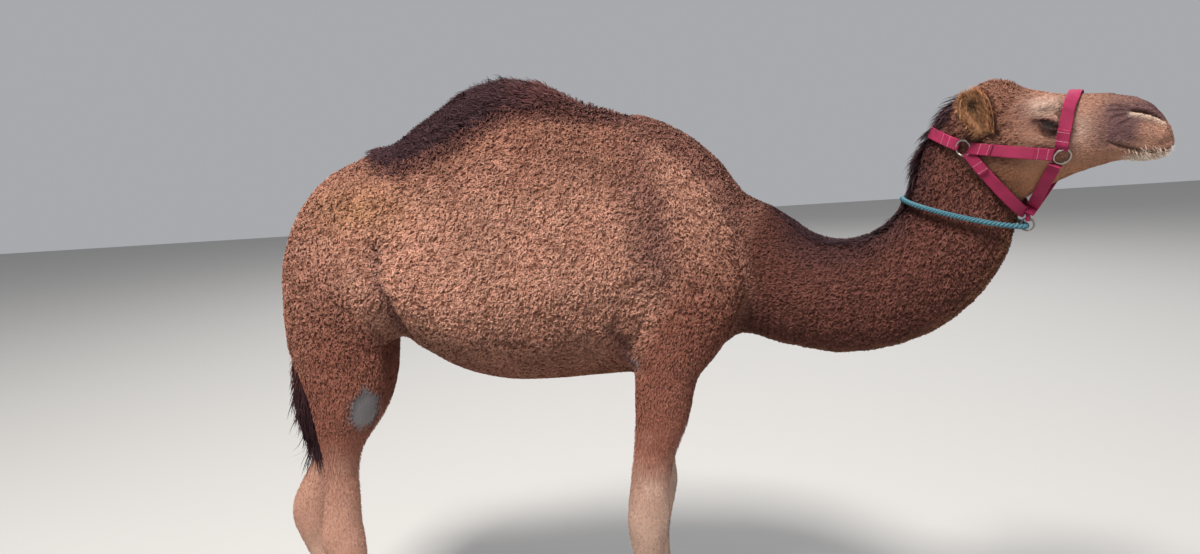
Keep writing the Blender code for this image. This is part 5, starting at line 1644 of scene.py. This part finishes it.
# %% Tufts
def make_tufts(name, slot, roots, width, sections=4, wave=0.16, lean=0.6, ridge_size=0.015,
               painted_root_shade=1.0):
    """Strips of paired points that narrow to one tip.

    The middle of a strip is its root, plus the lie times the length and reach, plus the normal
    times the depth and rise, plus a sideways wave. Half the width is added and taken away along a
    side that is rolled about the strip. Lean says how far curled wool turns up the ridges.
    """
    place, normal = roots["place"], roots["normal"]
    count = len(place)
    fleece = ridges(place, ridge_size)
    ridge = 0.70 * fleece + 0.30 * (0.5 + 0.5 * noise(place, 0.045, 9))
    slope = slope_of_ridges(place, ridge_size, fleece)
    curl = roots["curl"][:, None]
    lie_way = unit(roots["lie"]) + curl * (lean * 6.0 * slope + 0.45 * rng.normal(size=(count, 3)))
    lie_way = lie_way + 0.14 * rng.normal(size=(count, 3))
    lie_way = unit(lie_way - (lie_way * normal).sum(axis=1, keepdims=True) * normal)
    side = np.cross(normal, lie_way)
    luck = rng.random(count)
    long = (roots["length"] * (0.75 + 0.5 * rng.random(count)))[:, None]
    high = (roots["depth"] * (0.55 + 0.30 * rng.random(count)))[:, None]
    high = high * (1 + curl * (0.75 * ridge[:, None] - 0.50))
    reach = mixed_curve(STRAIGHT_REACH, CURLED_REACH, curl, sections)
    rise = mixed_curve(STRAIGHT_RISE, CURLED_RISE, curl, sections)
    share = np.linspace(0, 1, sections)
    sway = (rng.normal(size=(count, 1)) * share**1.5
            + (0.4 + curl) * np.sin(share * 5.5 + 6.3 * rng.random((count, 1))) * share) * wave
    middle = (place[:, None] + lie_way[:, None] * (long * reach)[..., None]
              + normal[:, None] * (high * rise)[..., None] + side[:, None] * (long * sway)[..., None])
    roll = rng.normal(0, 0.55, (count, 1))
    across = side * np.cos(roll) + normal * np.sin(roll)
    breadth = (width * (0.7 + 0.6 * rng.random((count, 1)))
               * (0.75 + 0.25 * np.sin(share[:-1] * 3.1)) * (1 - share[:-1] ** 3))
    half = 0.5 * breadth[..., None] * across[:, None]
    pairs = np.stack([middle[:, :-1] - half, middle[:, :-1] + half], axis=2)
    strip = np.concatenate([pairs.reshape(count, -1, 3), middle[:, -1:]], axis=1)
    strip[..., 2] = np.maximum(strip[..., 2], LOWEST)

    each = strip.shape[1]
    first = each * np.arange(count)
    step = 2 * np.arange(sections - 2)[:, None]
    quads = (step + np.array([0, 1, 3, 2]))[None] + first[:, None, None]
    ends = np.array([each - 3, each - 2, each - 1]) + first[:, None]
    piece = make_piece(name, strip.reshape(-1, 3), [quads.reshape(-1, 4), ends], hair_material)
    tips = np.append(np.repeat(share[:-1], 2), 1.0)
    look = np.ones((count, each, 4))
    # painted shade: each tuft is darker towards its root
    look[..., 0] = 1 - painted_root_shade * (1 - tips)
    look[..., 1] = luck[:, None]
    # painted shade: tufts off the ridges, in the clefts, are darker
    look[..., 2] = 1 - curl + curl * ridge[:, None]
    set_attribute(piece.data, "strand", look.reshape(-1, 4))
    set_shade(piece.data, np.repeat(roots["shade"], each, axis=0))
    lay_bake_map(piece.data, roots, tips)
    join_model(piece, slot)
    print(f"{name}: {count} tufts, {count * (2 * sections - 3)} triangles")


print("a tuft of 4 sections has", 2 * 4 - 3, "triangles")

# %% [markdown]
# The trunk's wool is cut into four pieces, front and rear and right and left, so that each stays
# small enough to handle. The wool of the upper legs grows with it, because the coat doesn't change
# where the legs join the trunk.

# %% Wool of the trunk
def zone(*names):
    """Share of the coat that belongs to the named limbs, without bare skin."""
    return sum(is_limb[name].astype(float) for name in names) * (1 - bare)


upper_leg = smoothstep(0.70, 0.80, z)
legs_zone = zone(*[name for name in NAMES if "leg" in name])
trunk_zone = zone("trunk") * (1 - 0.85 * crest_share(x, z)) + legs_zone * upper_leg
for word, on_side in (("right", y < 0), ("left", y >= 0)):
    for end, there in (("rear", x < -0.25), ("front", x >= -0.25)):
        roots = roots_on(trunk_zone * on_side * there, 62000)
        make_tufts(f"wool_{end}_{word}", "body_coat", roots, 0.0031, sections=3)

# %% [markdown]
# Towards the head the tufts get finer. The neck and crown are still woolly, but from in front of the
# ears the hair is short and laid back, and shows little of a darker root. The shanks are the same.

# %% Coat of neck, head and legs
roots = pressed(roots_on(zone("neck"), 52000))
make_tufts("wool_neck", "body_coat", roots, 0.0026, sections=3, lean=0.45)
face_share = smoothstep(0.11, 0.15, along)
roots = pressed(roots_on(zone("head") * (1 - face_share), 21000))
make_tufts("wool_crown", "face_coat", roots, 0.0015, lean=0.4, ridge_size=0.012, painted_root_shade=0.85)
roots = pressed(roots_on(zone("head") * face_share, 26000))
make_tufts("hair_face", "face_coat", roots, 0.0009, painted_root_shade=0.4)
for end in ("fore", "hind"):
    roots = roots_on(zone(end + "leg_right", end + "leg_left") * (1 - upper_leg), 18000)
    make_tufts(f"hair_{end}legs", "body_coat", roots, 0.0019, sections=3, painted_root_shade=0.6)

# %% [markdown]
# A camel's eye is large and dark, half hidden by a heavy lid with long lashes that keep out sand.
# The ball is a sphere with a slightly raised clear front, made of rings about the line of sight. Its
# pupil is wider than it is high, and only the ball's rim, mostly under the lids, is paler.

# %% Eyes
IRIS, PUPIL, WHITE = (0.026, 0.011, 0.006), (0.004, 0.003, 0.003), (0.10, 0.07, 0.06)


def eye_ball(side):
    """Rings about the line of sight: radius R, plus a bell-shaped rise at the front."""
    slant = np.linspace(0.02, np.pi - 0.02, 40)[:, None]
    spin = circle(48)[None, :]
    radius = EYE_RADIUS - 0.0006 + 0.0009 * bump(slant, 0, 0.55)
    outward = radius * np.cos(slant) + 0 * spin
    ahead, rise = radius * np.sin(slant) * np.cos(spin), radius * np.sin(slant) * np.sin(spin)
    rings = on_head(EYE_PLACE[0] + ahead, side * (EYE_PLACE[1] + outward), EYE_PLACE[2] + rise)
    return (rings if side > 0 else rings[:, ::-1])[::-1]


eye_finish = Finish("wet eye", Roughness=0.10, Specular_IOR_Level=0.35, Coat_Weight=0.25,
                    Coat_Roughness=0.03)
eye_finish.colour(eye_finish.attribute("shade"))
for word, side in SIDES.items():
    ball_points, ball_faces = closed_tube(eye_ball(side))
    eye = make_piece("eyeball_" + word, ball_points, ball_faces, eye_finish.material)
    ball_along, _, ball_height = head_parts(ball_points)
    from_pupil = np.hypot((ball_along - EYE_PLACE[0]) / 1.5, ball_height - EYE_PLACE[2])
    from_iris = np.hypot(ball_along - EYE_PLACE[0], ball_height - EYE_PLACE[2])
    tint = np.tile(IRIS, (len(ball_points), 1))
    tint = painted(tint, PUPIL, falling(0.0032, 0.0042, from_pupil))
    tint = painted(tint, WHITE, smoothstep(0.0145, 0.0165, from_iris))
    set_shade(eye.data, tint)
    join_model(eye, "eye", "eye_" + word)
print("two eyes,", round(2000 * EYE_RADIUS, 1), "mm across")

# %% [markdown]
# The lashes grow in a row from each lid: long ones above, which bend out and a little down over the
# eye, and fewer below. They are tufts like the coat's, with their roots given along the lid's edge.

# %% Lashes
LASH_RADIUS, LASH_BLACK = 0.0228, (0.022, 0.015, 0.014)


def given_roots(place, normal, lie, length, depth, colour, curl, along, around):
    """Roots at given places, in the same form as roots on the skin."""
    count = len(place)
    full = np.ones(count)
    return {"place": place, "normal": unit(normal), "lie": unit(lie), "length": length * full,
            "depth": depth * full, "curl": curl * full,
            "shade": np.array(colour) * (0.8 + 0.4 * rng.random((count, 1))),
            "along": along, "around": around, "lane": 0 * full}


def lash_row(side, upper, count):
    """Hairs along one lid's edge: they leave it outward and bend towards the nose and down."""
    share = rng.uniform(-0.92, 0.92, count)
    long = EYE_HALF_LENGTH * share
    edge = (UPPER_LID + 0.0012) if upper else -(LOWER_LID + 0.0010)
    across = edge * (1 - share**2) ** 0.75
    ahead = (long * math.cos(EYE_SLOPE) - across * math.sin(EYE_SLOPE)) / ARC_RADIUS
    rise = (long * math.sin(EYE_SLOPE) + across * math.cos(EYE_SLOPE)) / ARC_RADIUS
    outward = np.sqrt(np.clip(1 - ahead**2 - rise**2, 0.05, 1))
    step = np.stack([ahead, outward, rise], axis=1) * LASH_RADIUS
    place = on_head(EYE_PLACE[0] + step[:, 0], side * (EYE_PLACE[1] + step[:, 1]),
                    EYE_PLACE[2] + step[:, 2])
    normal = AHEAD * ahead[:, None] + HEAD_RIGHT * side * outward[:, None] + UP * rise[:, None]
    fan = AHEAD * (0.35 + 0.6 * share)[:, None] + HEAD_RIGHT * side * 0.95
    lie = fan + UP * (-0.10 if upper else -0.85)
    row = np.full(count, side + 0.5 * upper)
    return place, normal, lie, np.column_stack([share, row])


lash_parts = [lash_row(side, upper, count) for side in SIDES.values()
              for upper, count in ((True, 44), (False, 16))]
lash_place, lash_normal, lash_lie, lash_spot = (np.vstack(group) for group in zip(*lash_parts))
roots = given_roots(lash_place, lash_normal, lash_lie, 0.023, 0.006, LASH_BLACK, 0.0, *lash_spot.T)
make_tufts("lashes", "long_hair", roots, 0.0007, sections=7, wave=0.05)

# %% [markdown]
# The ears are small, round and thickly haired, so that little sand gets in. Each is a leaf bent
# into a cup. Its cross-sections are flat ovals that follow the bend, so the rim comes out rounded.

# %% Ears
EAR_LENGTH, EAR_WIDTH, EAR_WALL, EAR_BEND = 0.098, 0.072, 0.006, 1.15
EAR_ROOT = (0.062, 0.083, 1.404)
EAR_LEAN = (-0.27, 0.34, 0.90)


def ear_axes(side):
    """The ear's own directions: across it to the back, out of its cup, and towards its tip."""
    right = HEAD_RIGHT * side
    tip = unit(AHEAD * EAR_LEAN[0] + right * EAR_LEAN[1] + UP * EAR_LEAN[2])
    back = unit(np.cross(tip, right)) * side
    cup = unit(np.cross(tip, back))
    return back, cup if cup @ right > 0 else -cup, tip


def ear_surface(side, share, across, lift):
    """Point at a share of the length and breadth, lifted off the middle of the wall.

    Half the breadth follows a rounded leaf; the leaf is bent by an angle that grows to its rims.
    """
    back, cup, tip = ear_axes(side)
    breadth = 0.5 * EAR_WIDTH * (0.40 + 1.65 * share * (1 - share) ** 0.55)
    breadth = breadth * np.sqrt(1 - np.clip((share - 0.88) / 0.13, 0, 1) ** 2)
    bend = across * EAR_BEND
    x = breadth * np.sin(bend) / math.sin(EAR_BEND)
    y = breadth * (1 - np.cos(bend)) * EAR_BEND
    curled = 0.0060 * smoothstep(0.75, 1.0, np.abs(across)) * np.sin(np.pi * share)
    normal = np.stack([-np.sin(bend), np.cos(bend)], axis=-1)
    x = x + lift * normal[..., 0] - np.sign(across) * curled
    y = y + lift * normal[..., 1]
    place = on_head(EAR_ROOT[0], side * EAR_ROOT[1], EAR_ROOT[2])
    return (place + x[..., None] * back + y[..., None] * cup + (EAR_LENGTH * share)[..., None] * tip,
            unit(normal[..., :1] * back + normal[..., 1:] * cup))


for word, side in SIDES.items():
    spin = circle(40)[None, :]
    share = np.linspace(0.0, 0.995, 36)[:, None] + 0 * spin
    lift = 0.5 * EAR_WALL * np.sign(np.sin(spin)) * np.abs(np.sin(spin)) ** 0.6 + 0 * share
    rings, _ = ear_surface(side, share, np.cos(spin) + 0 * share, lift)
    ear_points, ear_faces = closed_tube(rings if side < 0 else rings[:, ::-1])
    ear = make_piece(f"ear_{word}_skin", ear_points, ear_faces, skin_material)
    inside = np.append((lift > 0).ravel().astype(float), [0, 0])
    # painted shade deep in the ear's cup, darkest towards its root
    cup_shade = inside * np.append(falling(0.25, 0.62, share).ravel(), [0, 0])
    tint = painted(np.tile(np.array(FACE), (len(ear_points), 1)) * 0.8, (0.30, 0.16, 0.10), inside)
    tint = painted(tint, DARK_SHADE, cup_shade)
    set_shade(ear.data, tint)
    set_attribute(ear.data, "strand", np.tile((0.8, 0.5, 0.9, 1.0), (len(ear_points), 1)))
    join_model(ear, "face_coat", "ear_" + word)


# number of tufts, colour, its brightness, length
EAR_HAIR = {"back": (2600, CROWN, 1.0, 0.011), "rim": (2600, SAND, 1.25, 0.020),
            "cup": (2200, SAND, 1.05, 0.014)}


def ear_roots(side, label):
    """Hair over the ear's back, along the inside of its rim, or in the cup, pointing to the tip."""
    count, colour, light, length = EAR_HAIR[label]
    count //= FEW
    turn = -1 if label == "back" else 1
    share = rng.uniform(0.02, 0.97, count)
    across = rng.uniform(-1, 1, count)
    if label == "rim":
        across = np.sign(across) * (1 - 0.45 * rng.random(count) ** 1.5)
    place, normal = ear_surface(side, share, across, np.full(count, 0.5 * turn * EAR_WALL))
    normal = normal * turn
    back, _, tip = ear_axes(side)
    fan = np.sign(across)[:, None] * smoothstep(0.5, 1.0, np.abs(across))[:, None] * back
    lie = tip + (0.9 * fan + 0.3 * normal if label == "back" else -0.75 * fan + 0.55 * normal)
    rim_tone_and_hole_shade = 0.80 + 0.30 * smoothstep(-0.2, 0.6, across)
    # painted shade: in the cup and along the rim, hair round the ear's hole is darker
    if label != "back":
        from_hole = np.hypot((share - 0.66) / 0.12, (across + 0.15) / 0.32)
        rim_tone_and_hole_shade = rim_tone_and_hole_shade - 0.9 * bump(from_hole, 0, 1)
    colour = np.array(colour) * light * rim_tone_and_hole_shade[:, None].clip(0.12, 2)
    return given_roots(place, normal, lie, length, 0.007, colour, 0.4, share, across)


for word, side in SIDES.items():
    for label in EAR_HAIR:
        make_tufts(f"ear_{label}_hair_{word}", "face_coat", ear_roots(side, label), 0.0012)

# %% [markdown]
# Each foot is one broad pad with two toes, and each toe ends in a small blunt nail of dark horn.

# %% Nails
NAIL_SIZE = (0.034, 0.026, 0.020)
NAIL_BACK, NAIL_SPREAD, NAIL_LEVEL = 0.020, 0.032, 0.026
NAIL_TURN = math.radians(8.0)            # each nail points a little outward


def nail_shell(x, y, turn):
    """Ellipsoid whose front half narrows and droops, with a flatter underside."""
    slant = np.linspace(0.03, np.pi - 0.03, 20)[:, None]
    spin = circle(20)[None, :]
    ahead = np.cos(slant) + 0 * spin
    narrow = np.sin(slant) * (1 - 0.22 * smoothstep(0.0, 1.0, ahead))
    across, rise = narrow * np.sin(spin), narrow * np.cos(spin)
    rise = np.where(rise < 0, 0.75 * rise, rise) - 0.20 * np.clip(ahead, 0, 1) ** 2
    local = np.stack([ahead, across, rise], axis=-1) * 0.5 * np.array(NAIL_SIZE)
    return turned(local, turn) + TRUNK_PLACE + (x, y, NAIL_LEVEL)


horn = Finish("nail horn", Roughness=0.42)
streaks = horn.noise(0.004, 4.0)
horn.colour(horn.mix((0.040, 0.032, 0.028, 1), (0.16, 0.125, 0.10, 1), streaks))
horn.bump(streaks, 0.0006)
shells = [closed_tube(nail_shell(x + 0.5 * PAD_SIZE[0] - NAIL_BACK, y + spread * NAIL_SPREAD,
                                 NAIL_TURN * spread)) for x, y in FEET.values() for spread in (-1, 1)]
nails = make_piece("toe_nails", *joined(shells), horn.material)
join_model(nails, "nail", *[f"nail_{foot}_{number}" for foot in FEET for number in (1, 2)])
print(len(shells), "nails")

# %% [markdown]
# Long soft hair stands on the hump. It is darkest at the back of the crest, redder and shorter
# towards the shoulders. It grows from the same roots as the wool, with new lengths and lie.

# %% Crest of the hump
roots = roots_on(crest_share(x, z, 0.010 * noise(points, 0.03, 3)) * is_limb["trunk"], 15000)
from_middle = (roots["place"] - TRUNK_PLACE)[:, 0]
high_up = smoothstep(1.46, 1.60, roots["place"][:, 2])
fading = 1 - 0.55 * smoothstep(-0.10, 0.10, from_middle)
front = smoothstep(-0.25, 0.05, from_middle)[:, None]
roots["lie"] = roots["lie"] + (-0.5, 0, 0.5)
roots["length"] = (0.036 + 0.020 * high_up) * fading
roots["depth"] = (0.030 + 0.012 * high_up) * fading
roots["curl"] = 0.22 + 0 * high_up
roots["shade"] = (1 - front) * CREST + front * RUSSET
roots["shade"] = roots["shade"] * (0.7 + 1.6 * rng.random((len(high_up), 1)) ** 2)
make_tufts("crest_locks", "long_hair", roots, 0.0024, sections=5, wave=0.22)

# %% [markdown]
# A thin mane runs up the neck's upper edge and ends in a tassel at the nape. The tail hangs, with
# short hair at its root and long locks below. A pale fringe of the finest hair edges the lower lip.

# %% Mane, tail and chin
mane_zone = zone("neck") * smoothstep(0.95, 0.995, top) * smoothstep(0.42, 0.52, x)
nape_zone = (zone("head") * falling(-0.03, 0.04, along + 0.02 * ragged)
             * smoothstep(0.55, 0.95, top))
roots = roots_on(mane_zone + nape_zone, 5000)
nearer = smoothstep(1.16, 1.42, roots["place"][:, 2])
start = 0.4 + 0.6 * smoothstep(0.46, 0.66, (roots["place"] - TRUNK_PLACE)[:, 0])
roots["length"] = 0.028 * start + 0.045 * nearer * (0.4 + 0.6 * rng.random(len(nearer)))
roots["depth"] = 0.030 * start
roots["curl"] = 0.25 + 0 * nearer
roots["lie"] = roots["lie"] + np.outer(nearer, (-0.35, 0, -0.55))
roots["shade"] = np.array(CREST) * (0.8 + 1.2 * rng.random((len(nearer), 1)) ** 2)
make_tufts("mane", "long_hair", pressed(roots), 0.0018, sections=5, wave=0.14)

roots = roots_on(zone("tail"), 5000)
low = falling(0.82, 1.02, roots["place"][:, 2])
tail_root = np.array(LEG_WITH_SHADE) * 0.6
roots["lie"] = roots["lie"] * (1, 0.4, 1) + (0, 0, -1)
roots["length"] = 0.018 + 0.075 * low
roots["depth"] = 0.010 + 0.010 * low
roots["curl"] = 0.3 * (1 - low)
roots["shade"] = tail_root + (np.array(CREST) - tail_root) * low[:, None]
make_tufts("tail_locks", "long_hair", roots, 0.0024, sections=5, wave=0.10)

chin_zone = zone("head") * smoothstep(0.30, 0.33, along) * falling(1.345, 1.372, height)
roots = roots_on(chin_zone, 640)
full = np.ones(len(roots["place"]))
roots |= {"length": 0.014 * full, "depth": 0.010 * full, "curl": 0.1 * full,
          "lie": np.outer(full, AHEAD * 0.5 - UP), "shade": np.outer(full, np.array(CHIN) * 1.15)}
make_tufts("chin_hair", "face_coat", roots, 0.0006, sections=6, wave=0.16)
